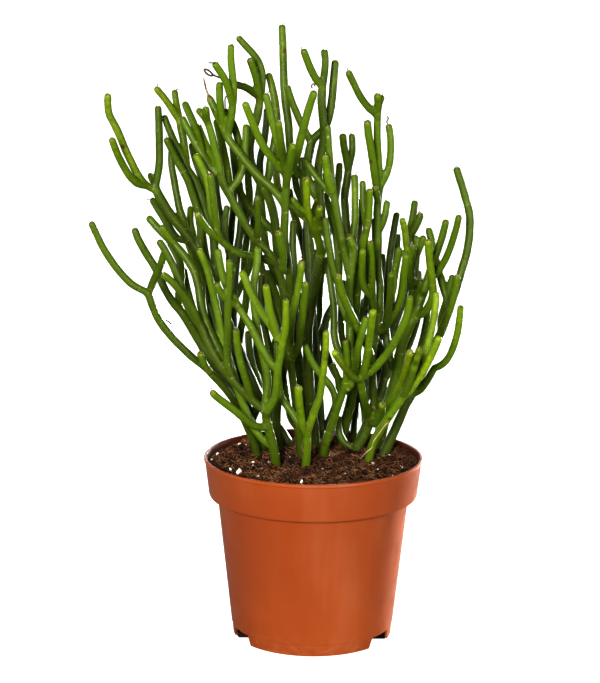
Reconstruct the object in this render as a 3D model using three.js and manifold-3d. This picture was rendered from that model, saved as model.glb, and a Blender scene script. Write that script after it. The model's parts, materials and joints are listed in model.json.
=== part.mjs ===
// A potted pencil euphorbia, as it is sold: rooted cuttings with leafless, branched, pencil-thick
// green stems, standing in peat and coir soil in a round injection-moulded nursery pot.
// Millimetres, +Z up. The origin is on the ground, under the middle of the pot.

import * as THREE from 'three';
import { mergeVertices } from 'three/addons/utils/BufferGeometryUtils.js';
import Module from 'manifold-3d';

const wasm = await Module();
wasm.setup();

// ---------------------------------------------------------------- driving dimensions

const POT_HEIGHT = 142;
const RIM_RADIUS = 85;
const COLLAR_FOOT_HEIGHT = 111.2;
const COLLAR_FOOT_RADIUS = 81.2;
const BODY_TOP_RADIUS = 74.5;
const FOOT_RADIUS = 62.5;
const WALL = 1.6;
const LIP = 2.4;
const FLOOR_THICKNESS = 1.8;
const FLOOR_RAISED = 7.5;
const PAD_RADIUS = 34;
const PAD_SLOPE = 4;
const FOOT_LINE_HEIGHT = 9;
const FOOT_LINE_STEP = 0.4;
const NOTCH_HEIGHT = 8;
const NOTCH_WIDTH_LOW = 27;
const NOTCH_WIDTH_HIGH = 22;
const NOTCH_TURNS = [-62, 58, 178];        // degrees from the front, towards +X
const DRAIN_HOLES = 6;
const DRAIN_HOLE_RADIUS = 4;
const DRAIN_CIRCLE_RADIUS = 49;
const ROUND_SIDES = 36;

const SOIL_EDGE_HEIGHT = 131.5;
const SOIL_MOUND = 5.2;
const SOIL_MOUND_RADIUS = 56;
const SOIL_RINGS = [74, 62, 48, 32, 14];
const FIT_GAP = 0.35;                      // between the pot and the soil, and round each stem's foot

const TIP_RADIUS = 2.7;                    // half the thickness of a twig that carries no other
const THICKENING = 0.19;                   // a stem that carries n tips is n ** THICKENING as thick
const TIP_VARIATION = 0.07;
const TWIG_SIDES = 5;
const ROUNDING_UP = 1.09;                  // a five-sided twig is as thick as the round one on average
const SAMPLE_STEP = 4;
const BEND_TOLERANCE = 0.9;
const CLEAR = 1.9;                         // twigs that pass each other are bent this far clear
const BENDING_PASSES = 160;
const BENDING_EASE = 0.35;
const ROOT_SAMPLES = 6;                    // next to its own root a twig may touch its stem
const GROUND_LEVEL = 142;                  // stems keep their place below this height

// Each stem's way up is written as it is seen from the front, from EYE_DISTANCE away at EYE_HEIGHT:
// across and height on the plane y = 0, in pairs. What stands behind that plane lies on the same
// line of sight, further back.
const EYE_DISTANCE = 1520;
const EYE_HEIGHT = 550;

// A stem stands so far behind the pot's axis. Each of its twigs has a name, the twig that it grows
// on, how far its tip is behind the axis, and its way from its root to its tip.
const STEMS = {
  front_centre: { stands: 8, twigs: [
    ['a', '', -40, [-5,117, -5.5,130, -5.2,145, -5,158, -3.5,165, -1,172.5, 2,181, 4.7,189, 6,199, 7.3,209, 8.3,219, 9,230, 9,240.5]],
    ['b', 'a', -38, [-5.3,156, -8,163, -9.5,171, -10.7,181, -11.6,190, -12,197]],
    ['c', 'a', 14, [-5.5,158, -9,163, -13,170, -17.5,177, -22,183, -25.5,190, -27,199, -28,212, -28.5,222, -29,231]],
  ] },
  front_left: { stands: 10, twigs: [
    ['a', '', -58, [-27,116, -28.5,132, -31,148, -34,160, -36,168, -37,175, -33.5,181, -29.8,189, -28.5,198, -28,210, -26,221, -24.5,231, -22.5,241, -22,253, -22,265]],
    ['b', 'a', -46, [-37,163, -43,164.5, -49,167, -56,173, -62,178, -68,182.5, -74,187, -79,192]],
    ['c', 'a', -26, [-28,210, -31,212.5, -36,219, -41,228, -46,238, -50,246, -56,255, -61,264, -66,272, -70,282, -72.5,293, -74,303.5]],
    ['d', 'c', -44, [-59,261, -64,263, -69,266.5, -73,272, -75,277]],
    ['e', 'a', -48, [-26,226, -28,234, -31.5,241.5, -37,250, -42,257, -46,265, -50,273, -53,280, -56,286.5]],
    ['f', 'e', -66, [-28.5,235, -30.5,243, -32.5,250, -34.5,258, -36,267, -37.5,276]],
    ['g', 'a', -24, [-37,175, -42,180.5, -48,186, -54,191.5, -59,197, -64,203, -68,207.5, -72,212, -76,219, -80,226, -84,235, -87,243,
      -92,250, -97,259, -101,269, -104,279, -108,290, -113,300, -119,310]],
    ['h', 'g', -44, [-89,246, -92,254, -97,263, -103,271, -110,279, -116.5,284]],
    ['i', 'g', -42, [-63,202, -66,211, -67,220, -67,228, -66.5,242, -66.5,256, -66,270, -65,284, -65.5,295]],
    ['j', 'g', 4, [-64,203, -68,213, -72,222, -77,233, -81,242, -85,252, -87.5,263, -89,275, -93,288, -100,299, -107,307, -114,313.5, -121,321, -127,328]],
    ['k', 'j', -8, [-107,307, -112,313.5, -117,321]],
    ['l', 'g', -46, [-47,185.5, -50,193, -52,200, -54.5,208, -57,217, -58.5,225, -59.5,233, -60,241.5]],
    ['m', 'a', -8, [-37,177, -37,186, -36,195, -36,205, -38,214, -40,223, -43,236, -45,250, -46.5,264, -46.5,278, -45,287, -44,296, -44,305]],
    ['n', 'a', -12, [-33,147, -38,153, -43,159, -47.5,165.5, -51,173, -54,181, -57,189, -60,198, -64,212, -68,226, -71.5,238, -74,252,
      -76,262, -78,271, -80,280, -83,291, -86,298, -88.5,303.5]],
  ] },
  outer_left: { stands: 22, twigs: [
    ['a', '', -34, [-40,118, -42,132, -44.5,146, -48.5,157, -53,168, -59,180, -65,190, -71,197.5, -77,204, -83,210.5, -90,216, -96,221,
      -102,227, -108,233, -113,239, -117.5,245, -121.5,252, -125,261, -128,269, -134,272.5, -140,276, -146,282, -151,288, -156,295,
      -161,303, -165,311, -168,318, -170.5,323.5]],
    ['b', 'a', 6, [-127,268, -124.5,276, -121,284, -117.5,292, -115,301]],
    ['c', 'a', -16, [-80,207.5, -83,212, -86,217.5, -88,223]],
  ] },
  rear_left: { stands: 40, twigs: [
    ['a', '', 30, [-34,124, -37,138, -41,151, -46,162, -52,172, -58,183, -64,194, -70,203.5, -76,212, -81,219.5, -85,226, -89,233,
      -93,240, -97,247, -101,253.5, -106,259, -111,266, -115.5,274, -119,283, -123,291, -127,297, -131,304, -135,311.5, -137.5,319]],
    ['b', 'a', 62, [-104,257, -104,268, -102,280, -102.5,291, -106,300, -111,309]],
    ['e', 'a', 66, [-87,231, -89,240, -91.5,252, -95,264, -98,276, -100,288]],
    ['c', 'a', 92, [-76,212, -77,224, -80,237, -84,249, -86,262, -86,276, -88,286, -92,295, -95,303, -98,312.5]],
    ['d', 'a', 78, [-58,183, -60,198, -64,214, -70,230, -75,246, -79,262]],
  ] },
  crown_left: { stands: 58, twigs: [
    ['a', '', 52, [-17,126, -18,140, -21.5,153, -29.5,166, -38,180, -45,194, -52,210, -60,230, -68,250, -75,268, -81,284, -88,299, -93,308, -99,316,
      -107,326, -115,338, -121,350, -120,358, -118.3,368, -118,380, -118.2,396, -119,412]],
    ['b', 'a', 36, [-122,350, -129,353, -134.5,360, -139.5,370, -144.5,381, -148.5,391, -152.5,399.5, -155.5,405, -156.5,412, -156.5,421]],
    ['c', 'b', 20, [-127,351.5, -134,353, -140.5,359, -146,368, -150.5,377.5, -154,387.5]],
    ['d', 'a', 66, [-121,351, -123,355, -125,360.5]],
    ['e', 'a', 74, [-95,310, -106,313, -112,322, -118,332, -124,342]],
    ['f', 'a', 70, [-99,317, -100,326, -103,334, -105,344, -107,356, -109,368, -109,379]],
    ['k', 'a', 74, [-91,304, -93,315, -95,325, -94.5,336]],
    ['g', 'a', 46, [-88,300, -87,316, -89,332, -93,345, -97,357, -103,368, -108,378, -113,388]],
    ['h', 'a', 62, [-76,270, -76,290, -77,311, -80,322, -84,335, -88,347, -92,357, -97,365, -100,373, -105,382, -110,393, -114.5,405]],
    ['i', 'h', 76, [-97,366, -98.5,376, -100,387, -102.5,400, -105,414, -106.5,424]],
    ['j', 'i', 66, [-103.5,402, -108,409.5, -113.5,417.5, -120.5,426]],
    ['l', 'h', 86, [-79,320, -81,335, -84,348, -87,360, -91,372, -94,384]],
  ] },
  upper_left: { stands: 42, twigs: [
    ['a', '', -4, [-23,126, -25.5,142, -28,158, -28.8,172, -27.5,186, -24.5,202, -22.5,220, -22,240, -22,258, -24,274, -28.5,290, -35,301, -43.5,309,
      -50,318, -57,330, -64,343, -70.5,355, -73,368, -76,380, -79,392, -82,401, -89,410]],
    ['b', 'a', -14, [-81,399, -82.5,405, -83,411]],
    ['c', 'a', 12, [-72,361, -78,364, -84,373, -90,383, -96,394, -101,404]],
    ['d', 'c', 24, [-85,375, -87,383, -89,391, -92,399, -95.5,407, -99,415]],
    ['e', 'a', 22, [-72,362, -76,370, -81,379, -86,390, -89,398]],
    ['g', 'a', -34, [-29,291, -38,296, -46,298, -56,300, -63,303.5, -69,308, -73.5,314, -75.5,326, -77,338, -78.5,350, -80,361]],
    ['h', 'g', -12, [-73,312, -76,322, -79,335, -80.5,349, -83,360, -87,369, -91,376]],
    ['i', 'g', -40, [-71,310, -78,315, -84,322, -90,331]],
    ['j', 'a', 12, [-65,346, -60,355, -56,363, -53.7,372, -53,385, -52.5,398.5]],
    ['k', 'j', 26, [-55,364, -56.5,375, -58.5,387, -62,398, -66,405, -69,410]],
    ['l', 'a', -8, [-43,309, -43.3,322, -43.6,334, -44,344]],
    ['m', 'a', 44, [-65,345, -66,357, -67.5,368, -70,380, -72.5,391, -75,402]],
    ['n', 'a', 62, [-24,203, -28,211, -32.5,220, -36,233, -38.5,246, -40.5,260, -41,272, -40.5,284]],
    ['o', 'a', 58, [-22,242, -25,252, -28,264, -32,276, -36.5,287]],
  ] },
  crown_centre_left: { stands: 28, twigs: [
    ['a', '', -20, [-8,122, -9,138, -10.5,155, -12.5,170, -14,185, -16,200, -18,216, -18.5,232, -18.5,250, -19,268, -19.5,284, -21,298,
      -23.5,313, -23,330, -22.5,346, -22,362, -24,369, -27,379, -30.5,392, -34,405, -38,422]],
    ['b', 'a', -46, [-22,361, -28,368, -33,374, -38,380, -42,387, -46,396, -50,406, -53.5,415]],
    ['c', 'a', -34, [-22,361, -17,369, -13.5,379, -11,390, -8,402, -5,413, -1.5,424]],
    ['d', 'a', -48, [-22.5,357, -24,371, -26,383, -27.5,393, -28.5,401]],
    ['e', 'a', -52, [-22.5,354, -20,366, -17.5,383.5]],
    ['f', 'a', 6, [-23,336, -28,345, -34,352, -41,358, -47,364, -53,371, -60,380, -66,388, -70,396, -74,405, -78,414, -82,423, -84.5,433]],
    ['g', 'f', -12, [-66,389, -64.5,400, -63,411, -62,424, -63,436, -64,447, -64,458]],
    ['h', 'g', -26, [-63,412, -65,422, -68,431, -72,438, -76.5,444.5]],
    ['i', 'f', -8, [-70,396, -71,405, -72.5,418, -72.5,430]],
    ['j', 'a', -18, [-18.3,222, -18.8,234, -18.3,245, -16.8,254, -14.5,265, -12.3,276, -10.8,286, -10,295.5]],
    ['k', 'a', -44, [-18,216.5, -14.5,223.5, -11.5,231, -10.7,241, -9.5,250, -8.5,260, -7.5,270, -7,278]],
    ['l', 'a', -42, [-20,288, -25,287, -24,295, -24.5,302, -26.5,310, -28,317.5]],
  ] },
  rear_centre_left: { stands: 64, twigs: [
    ['a', '', 40, [-6,130, -6.5,150, -8,172, -9.5,195, -12,218, -16,240, -21,262, -27,285, -29,308, -31,328, -36,345, -43,357, -48.5,369,
      -50,381, -48,393, -44.5,404, -43,413, -41,425, -40.5,436, -43,445, -47,451, -53,457.5, -59,464]],
    ['b', 'a', 28, [-42.5,415, -43,421, -44.5,431, -47,440, -50,448]],
    ['c', 'a', 22, [-42,418, -47.5,423, -53.5,427, -59.5,428.5, -66,431]],
    ['d', 'a', 60, [-37,349, -35.5,360, -34,372, -31,386, -29.5,402, -31,417, -33.5,428, -36,437]],
    ['e', 'a', 82, [-30,315, -40,326, -50,336, -58,350, -61,366, -63,383]],
    ['f', 'a', 84, [-12,216, -14.5,236, -15,262, -15,283, -16.5,298, -17,312, -16.5,326]],
    ['g', 'a', 98, [-24,272, -30,284, -35,297, -38,310, -39.5,325, -41,340, -42,352]],
  ] },
  crown_centre: { stands: 50, twigs: [
    ['a', '', 26, [2,130, 1,150, -1,172, -3,195, -4.5,218, -5,240, -4,252, -2,264, 0,276, 2,288, 4.5,300, 6,311, 5,322, 4,336, 3,350,
      2,366, 4,378, 5.7,387, 6,396, 5,406, 4,419, 5,431, 6.2,440, 6.5,448, 5.5,455]],
    ['b', 'a', 12, [5,427, 0.5,432, -3.5,439, -7,447, -10,455]],
    ['c', 'a', 48, [3,340, -2,350, -6,358, -7,366, -5.5,375, -4,383, -1,389.5, 4,393.5, 8.5,401, 10.7,411, 12,421, 13,434, 14,447]],
    ['d', 'c', 32, [-4,383, -7,392, -11,399.5, -15.5,409.5, -19.5,419.5, -22,428]],
    ['e', 'c', 62, [-6,356, -13,362, -18,372, -20,388, -21,402, -23,415, -24.2,428, -24.7,440, -25.2,456, -26,473]],
    ['f', 'a', -4, [5.8,314, 3.8,322, 2.6,329, 3,336.5]],
    ['g', 'a', -18, [4.5,302, 3,311, 0,318, -3.5,326.5, -6,335, -6.7,346, -7,358.5]],
    ['h', 'g', -2, [-4,328, -8,332, -13,337, -18,343]],
  ] },
  centre_right: { stands: 33, twigs: [
    ['a', '', -4, [7,122, 7.5,135, 8.5,147, 11.5,158, 14.7,168, 17.5,178, 20.5,187, 23,195, 24.7,203, 25.2,213, 25.3,223, 24,233.5]],
    ['b', 'a', 12, [17.3,176, 17,184, 16,191, 13,197, 9,202, 5,207, 0,214, -4,222, -7,230]],
    ['c', 'a', -8, [23,193, 27,196.5, 30,202, 31,209, 32,217, 33.5,226, 35.5,235, 37.5,243.5, 40,252]],
    ['d', 'a', -6, [24.8,206, 27,222, 27.5,240, 26.5,258, 26.3,275, 28,288, 29.7,299, 28.7,308.5, 25,315.5]],
    ['e', 'd', -16, [27,281, 24.5,292, 22.5,302, 20.5,310, 19,319, 17,329, 15,340, 13.5,350, 12,360, 10.7,371, 9.5,386, 8.5,398.5]],
    ['f', 'e', -24, [13.7,347, 10.5,354, 8.5,364, 7,376]],
    ['g', 'e', 0, [14,344, 9,350, 4,356, -1,362, -5,368, -9.5,374]],
    ['h', 'd', -4, [26.5,265, 21,272, 16,283, 12.5,295, 11,305, 9,316, 7.5,328]],
  ] },
  front_right: { stands: 34, twigs: [
    ['a', '', 20, [29,124, 31,137, 33,147, 37,154, 40.5,161, 43.5,168.5, 45.5,176, 46.5,186, 45.7,197, 45,208, 45,220, 46,232, 48,242,
      50,252, 50,264, 50,276, 48.5,288, 48,300, 48,312, 47.5,322, 47,333, 47.5,343, 48.7,352, 51.5,358, 54.5,365, 56,373, 56.5,382,
      56,391, 54.5,399.5]],
    ['b', 'a', 6, [48.5,352, 48,364, 47,376, 46.3,387, 46,397, 46.2,407, 47,414, 49.5,421]],
    ['c', 'a', -4, [47.7,346, 45,360, 43.2,372, 41.3,383, 39.5,393, 38.5,402]],
    ['d', 'b', -12, [46,407, 42.5,409.5, 38.5,413, 33,420.5, 28,430, 23.5,439]],
    ['e', 'b', -4, [46.3,408, 46.2,415, 46,422]],
    ['f', 'a', 4, [47.4,341, 46,347, 45.2,352.5]],
    ['g', 'a', 30, [48,318, 50.5,323, 52.8,330, 54.5,341.5]],
    ['h', 'a', -60, [45.5,175, 41,181, 38.5,189, 36.8,197, 36.3,203, 38.3,209, 40,217, 41.3,226, 42.7,236, 43.8,246, 45,257]],
    ['i', 'h', -70, [36.5,201.5, 31.5,203.5, 26.5,208.5, 22.5,213.5, 19,218.5, 15.5,224]],
    ['j', 'h', -30, [36.5,203, 41,207.5, 47,212.5, 52,218, 57,224.5, 61,231, 65,239, 68.5,247, 71,254, 72.3,261, 73,268.5]],
    ['k', 'a', -22, [47.8,239, 52,241.5, 56,246.5, 60,253, 63.5,260, 66,268, 67.3,277, 68,286, 69,294, 69.5,300.5]],
    ['l', 'a', -40, [45.3,212, 43.5,222, 39.5,232, 35,240.5, 30.5,249.5, 26,258, 22.5,266, 19.5,275, 17.5,284.5]],
    ['m', 'a', -18, [44.5,167, 49,167, 51.5,171.5, 53,177.5, 53,183.5]],
    ['n', 'a', -38, [45,172, 52,177, 57,182, 61,188, 65,195, 68.5,203, 71,211, 73,218.5, 74,225]],
    ['o', 'a', 40, [32,148, 27,150, 23,154, 20.5,159, 19.5,166, 20,173]],
    ['p', 'k', -34, [53,243, 55.5,251, 57,260, 57.7,270, 58.2,278, 58.5,285.5]],
    ['q', 'a', -8, [50,254, 47,258, 44.7,265, 44,274, 43.7,285, 43.2,297, 42,310.5]],
    ['r', 'q', -20, [44,268, 39,273, 36.2,281, 36,291, 36.5,304]],
  ] },
  crown_right: { stands: 58, twigs: [
    ['a', '', 0, [20,130, 22,150, 24,165, 28,182, 30.5,200, 30.5,222, 30.5,242, 31.5,260, 33,280, 34.5,298, 36.5,309, 38.5,317, 40.3,326, 41,336, 41,350.5]],
    ['b', 'a', 12, [38.5,318, 37.5,330, 36.3,341, 35.5,356.5]],
    ['c', 'a', 34, [33.5,286, 30,302, 29,314, 30.3,328, 30.2,342, 29.5,361.5]],
    ['d', 'a', 44, [31,255, 28,275, 26,295, 25,315, 23,332, 22.2,346, 24,358, 25,368, 27.5,380, 27,392]],
    ['e', 'd', 32, [24.7,364, 23,374, 21,384, 20,392]],
    ['f', 'a', 72, [29,240, 25,252, 20,264, 18.5,278, 18.5,292, 17,306, 15,320, 11,334, 7,347]],
    ['g', 'a', 66, [34,291, 32.8,304, 33,318, 34,330, 34.5,342]],
    ['h', 'a', 56, [27.5,212, 20,223, 15.5,236, 15,250, 14.5,262, 12.5,276, 10.5,288, 9.5,298]],
  ] },
  small_right: { stands: 12, twigs: [
    ['a', '', -36, [41,118, 42.5,132, 44,143, 46.5,153, 51,161.5, 55.5,168.5, 60,176, 64.5,183, 68.5,189, 73,193, 78,200, 83,207.5,
      87,215.5, 90.5,223, 93.5,230, 96,237]],
    ['b', 'a', -40, [69,190, 72,196.5, 74.5,203, 76.5,210.5, 79,219, 81,228]],
    ['c', 'a', -14, [70,190.5, 74,197.5, 78,206, 82,214.5, 85.5,223.5, 88,233, 90,243, 91.7,253, 92.7,262, 93,271.5]],
  ] },
  outer_right: { stands: 22, twigs: [
    ['a', '', 34, [51,120, 53,134, 56,146, 60,155.5, 64,165, 68,175, 72,184, 76,191.5, 80,200, 84,209.5, 88.5,220, 93,231.5, 97.5,241,
      101,251, 104.5,262, 108,274, 111.5,287, 114.5,298, 116.5,308, 117.5,319, 117.3,330, 116,337, 113.5,345, 111,353, 108.3,361, 106,367.5]],
    ['b', 'a', -8, [76,190, 81,193.5, 86,200, 90,207, 93,212.5, 98,214.5, 103,220, 107,229, 109.5,238, 111,248, 112,261]],
    ['c', 'a', 8, [95,236, 99,247, 102.5,256, 105.5,265, 107.5,274, 109,285]],
    ['d', 'a', 44, [97,240, 97,250, 99,259, 101.5,267, 103.5,275, 105,285]],
    ['e', 'd', 56, [101,266, 98.5,275, 96,284, 93.5,292, 91.3,300, 89.3,308, 87.8,315, 86,321]],
  ] },
  middle_right: { stands: 46, twigs: [
    ['a', '', 24, [46,128, 49,146, 52,160, 55.5,175, 59.5,190, 63,204, 65.5,218, 67.5,231, 71.5,240.5, 75.5,250, 79.5,260, 83,270,
      85.5,279, 88,288.5, 91,297, 94,306, 97,316, 99.5,327.5]],
    ['b', 'a', -6, [77,253, 84,256, 89,264, 90.5,273, 89.5,282, 88,292, 86.8,302, 85.5,312]],
    ['c', 'a', 4, [86.5,281, 91,284, 95,289.5, 99.5,297.5, 102.8,306, 105.5,315, 107.7,323.5, 109,331]],
    ['d', 'a', 30, [78,256, 80,266, 80.7,274, 81,281.5]],
    ['e', 'a', 38, [67.5,231, 71,243, 73,255, 74.5,267, 75.5,279, 76.7,291, 77.3,303, 76,315]],
    ['f', 'e', 20, [75,273, 73.5,284, 73.7,296, 75,307.5]],
    ['g', 'e', 60, [75,272, 72.5,286, 71,300, 71.3,312, 72.8,323, 74.5,333, 75.5,342]],
    ['h', 'g', 48, [71.3,311, 73.5,317, 76.5,322.5, 78.7,327.5, 80,332.5]],
    ['i', 'e', 36, [77,298, 79.3,304.5, 81,309.5, 82.7,315]],
    ['j', 'f', 4, [74,292, 72,299, 70,306, 69,313, 68,320.5, 66,328]],
    ['k', 'a', 70, [63,204, 58,222, 55,240, 54,258, 55,275, 56.3,290, 57.5,302, 59,314, 60.5,324, 62,332.5]],
    ['l', 'k', 46, [54,253, 57.5,264, 60,275, 61.3,287, 63,297, 64,306]],
    ['m', 'k', 84, [54,262, 53.5,276, 52,289, 51.5,300.5]],
  ] },
  back_left: { stands: 50, twigs: [
    ['a', '', 120, [-38,128, -42,146, -48,166, -54,186, -59,208, -62,230, -63,252, -62,274, -60,296, -57,318, -56,338, -58,356]],
    ['b', 'a', 112, [-56,188, -63,202, -70,218, -76,236, -80,252, -83,270, -88,286]],
    ['c', 'a', 134, [-60,214, -57.5,230, -56,244, -53,260, -52,276, -54,290, -52.5,308, -50,322]],
    ['d', 'a', 100, [-62,236, -68,252, -74,268, -80,286, -84,304, -86,320]],
    ['e', 'a', 142, [-62,262, -56,276, -50,290, -47,308, -47,326, -44,344]],
    ['f', 'a', 104, [-61,284, -65,298, -68,312, -68.5,325, -67,337]],
    ['g', 'a', 134, [-57,312, -52.5,326, -50,342, -51,358, -50,370]],
    ['h', 'a', 110, [-52,180, -58,190, -67,200, -74,212]],
    ['i', 'a', 84, [-48,166, -44,179, -41.5,192, -43.5,203, -47.5,214, -50,226, -51,240]],
  ] },
  back_centre: { stands: 60, twigs: [
    ['a', '', 116, [5,128, 5,148, 4.5,165, 3.5,188, 2,212, 0.5,232, -1.5,250, -3,266, -3,284, -4,306, -6,328, -9,350, -11,374]],
    ['b', 'a', 136, [3.5,188, 0,200, -4,216, -7,234, -9,252, -12,270]],
    ['c', 'a', 106, [3,200, 6,212, 8,226, 8,240, 9.5,252, 15,262, 18,274, 18,287]],
    ['d', 'a', 146, [-2.5,264, -4,278, -6.5,294, -9,308, -13,322, -17,334, -20,350]],
    ['e', 'a', 128, [-3,290, 3,302, 9,314, 12.5,330, 15.5,346, 17.5,360, 18,370]],
    ['f', 'a', 140, [-5,318, -1,332, 3,345, 6,362]],
    ['g', 'a', 110, [-6,328, -14,334, -22,341, -28,350, -30,364, -31,378]],
    ['h', 'a', 96, [4.8,158, 9,163, 12.5,171, 16,180, 19,191, 18.5,203, 14,215]],
  ] },
  back_right: { stands: 54, twigs: [
    ['a', '', 118, [31,128, 34,146, 40,163, 46.5,178, 52,194, 55,211, 57,230, 58,252, 60,278, 62,298, 63,316]],
    ['b', 'a', 130, [40,163, 39.5,178, 36.5,192, 34.5,206, 34,226, 36,246, 38,266]],
    ['c', 'a', 98, [53.5,202, 61,215, 68,229, 73,243, 77,258, 79.5,273, 79,288]],
    ['d', 'a', 144, [52,220, 47,236, 44,254, 43,274, 44,294]],
    ['e', 'a', 108, [57,232, 62.5,248, 67,262, 70,277, 73,292, 74,308]],
    ['f', 'a', 138, [58,262, 53,276, 49,292, 46,310, 45,328]],
    ['g', 'a', 120, [48,184, 57,193, 67,204, 77,217, 82.5,231, 85.5,246, 87,258]],
  ] },
};

// ---------------------------------------------------------------- solids

function closedGeometry(positions, indices) {
  const geometry = new THREE.BufferGeometry();
  geometry.setAttribute('position', new THREE.Float32BufferAttribute(positions, 3));
  geometry.setIndex(indices);
  return geometry;
}

function toSolid(source) {
  const bare = source.clone();
  bare.deleteAttribute('normal');
  bare.deleteAttribute('uv');
  const merged = mergeVertices(bare, 1e-4);
  const at = merged.attributes.position.array;
  const corners = [];
  for (let i = 0; i < merged.index.count; i += 3) {
    const [a, b, c] = [merged.index.getX(i), merged.index.getX(i + 1), merged.index.getX(i + 2)];
    if (a !== b && b !== c && c !== a) corners.push(a, b, c);
  }
  const vertProperties = new Float32Array(at);
  const triVerts = new Uint32Array(corners);
  const solid = new wasm.Manifold(new wasm.Mesh({ numProp: 3, vertProperties, triVerts }));
  if (solid.volume() > 0) return solid;
  return new wasm.Manifold(new wasm.Mesh({ numProp: 3, vertProperties, triVerts: triVerts.reverse() }));
}

function toGeometry(solid) {
  const mesh = solid.getMesh();
  const geometry = closedGeometry(mesh.vertProperties, [...mesh.triVerts]);
  geometry.computeVertexNormals();
  return geometry;
}

// A profile of radius and height pairs, turned round the Z axis.
function turned(profile, sides) {
  const points = profile.map(([radius, height]) => new THREE.Vector2(radius, height));
  return new THREE.LatheGeometry(points, sides).rotateX(Math.PI / 2);
}

// ---------------------------------------------------------------- pot

const bodyRadius = (height) => FOOT_RADIUS + (BODY_TOP_RADIUS - FOOT_RADIUS) * height / COLLAR_FOOT_HEIGHT;

const FLOOR_TOP = FLOOR_RAISED + FLOOR_THICKNESS;
const COLLAR_FLOOR = COLLAR_FOOT_HEIGHT + WALL;
const COLLAR_INSIDE_LOW = [COLLAR_FOOT_RADIUS - WALL, COLLAR_FLOOR + 0.8];
const COLLAR_INSIDE_HIGH = [RIM_RADIUS - LIP, POT_HEIGHT - 1.2];
const PAD_INSIDE_RADIUS = PAD_RADIUS - 1.1;

const insideOfPot = [
  [COLLAR_INSIDE_LOW[0], COLLAR_INSIDE_LOW[1]],
  [COLLAR_INSIDE_LOW[0] - 0.8, COLLAR_FLOOR],
  [bodyRadius(COLLAR_FOOT_HEIGHT) - WALL, COLLAR_FLOOR],
  [bodyRadius(COLLAR_FOOT_HEIGHT) - WALL, COLLAR_FLOOR - 1],
  [bodyRadius(FLOOR_TOP) - WALL, FLOOR_TOP],
  [PAD_INSIDE_RADIUS + PAD_SLOPE, FLOOR_TOP],
  [PAD_INSIDE_RADIUS, FLOOR_THICKNESS],
  [0, FLOOR_THICKNESS],
];

function potSolid() {
  const profile = [
    [0, 0],
    [PAD_RADIUS, 0],
    [PAD_RADIUS + PAD_SLOPE, FLOOR_RAISED],
    [bodyRadius(FLOOR_RAISED) - WALL - FOOT_LINE_STEP, FLOOR_RAISED],
    [FOOT_RADIUS - WALL - FOOT_LINE_STEP, 0],
    [FOOT_RADIUS - FOOT_LINE_STEP, 0],
    [bodyRadius(FOOT_LINE_HEIGHT) - FOOT_LINE_STEP, FOOT_LINE_HEIGHT],
    [bodyRadius(FOOT_LINE_HEIGHT), FOOT_LINE_HEIGHT + FOOT_LINE_STEP],
    [BODY_TOP_RADIUS, COLLAR_FOOT_HEIGHT],
    [COLLAR_FOOT_RADIUS - 2.2, COLLAR_FOOT_HEIGHT],
    [COLLAR_FOOT_RADIUS - 0.7, COLLAR_FOOT_HEIGHT + 0.8],
    [COLLAR_FOOT_RADIUS, COLLAR_FOOT_HEIGHT + 2.4],
    [RIM_RADIUS - 0.7, POT_HEIGHT - 3],
    [RIM_RADIUS, POT_HEIGHT - 2.4],
    [RIM_RADIUS, POT_HEIGHT - 0.6],
    [RIM_RADIUS - 0.6, POT_HEIGHT],
    [RIM_RADIUS - LIP + 0.5, POT_HEIGHT],
    COLLAR_INSIDE_HIGH,
    ...insideOfPot,
  ];
  let pot = toSolid(turned(profile, ROUND_SIDES));

  const notch = new THREE.Shape([
    new THREE.Vector2(-NOTCH_WIDTH_LOW / 2 - 0.6, -2),
    new THREE.Vector2(NOTCH_WIDTH_LOW / 2 + 0.6, -2),
    new THREE.Vector2(NOTCH_WIDTH_HIGH / 2, NOTCH_HEIGHT),
    new THREE.Vector2(-NOTCH_WIDTH_HIGH / 2, NOTCH_HEIGHT),
  ]);
  for (const turn of NOTCH_TURNS) {
    const cutter = new THREE.ExtrudeGeometry(notch, { depth: 16, bevelEnabled: false });
    cutter.rotateX(Math.PI / 2).translate(0, -FOOT_RADIUS + 10, 0);
    cutter.rotateZ(THREE.MathUtils.degToRad(turn));
    pot = pot.subtract(toSolid(cutter));
  }
  for (let i = 0; i < DRAIN_HOLES; i++) {
    const drill = new THREE.CylinderGeometry(DRAIN_HOLE_RADIUS, DRAIN_HOLE_RADIUS, 8, 10);
    drill.rotateX(Math.PI / 2).translate(DRAIN_CIRCLE_RADIUS, 0, FLOOR_TOP - FLOOR_THICKNESS / 2);
    drill.rotateZ((i + 0.5) / DRAIN_HOLES * 2 * Math.PI);
    pot = pot.subtract(toSolid(drill));
  }
  return pot;
}

// ---------------------------------------------------------------- soil

function soilHeight(x, y) {
  const mound = SOIL_MOUND * Math.exp(-(((x * x + y * y) / SOIL_MOUND_RADIUS ** 2) ** 2));
  const rolls = 0.9 * Math.sin(0.13 * x + 1) * Math.cos(0.11 * y) + 0.6 * Math.sin(0.31 * x - 0.27 * y);
  return SOIL_EDGE_HEIGHT + mound + rolls;
}

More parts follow.
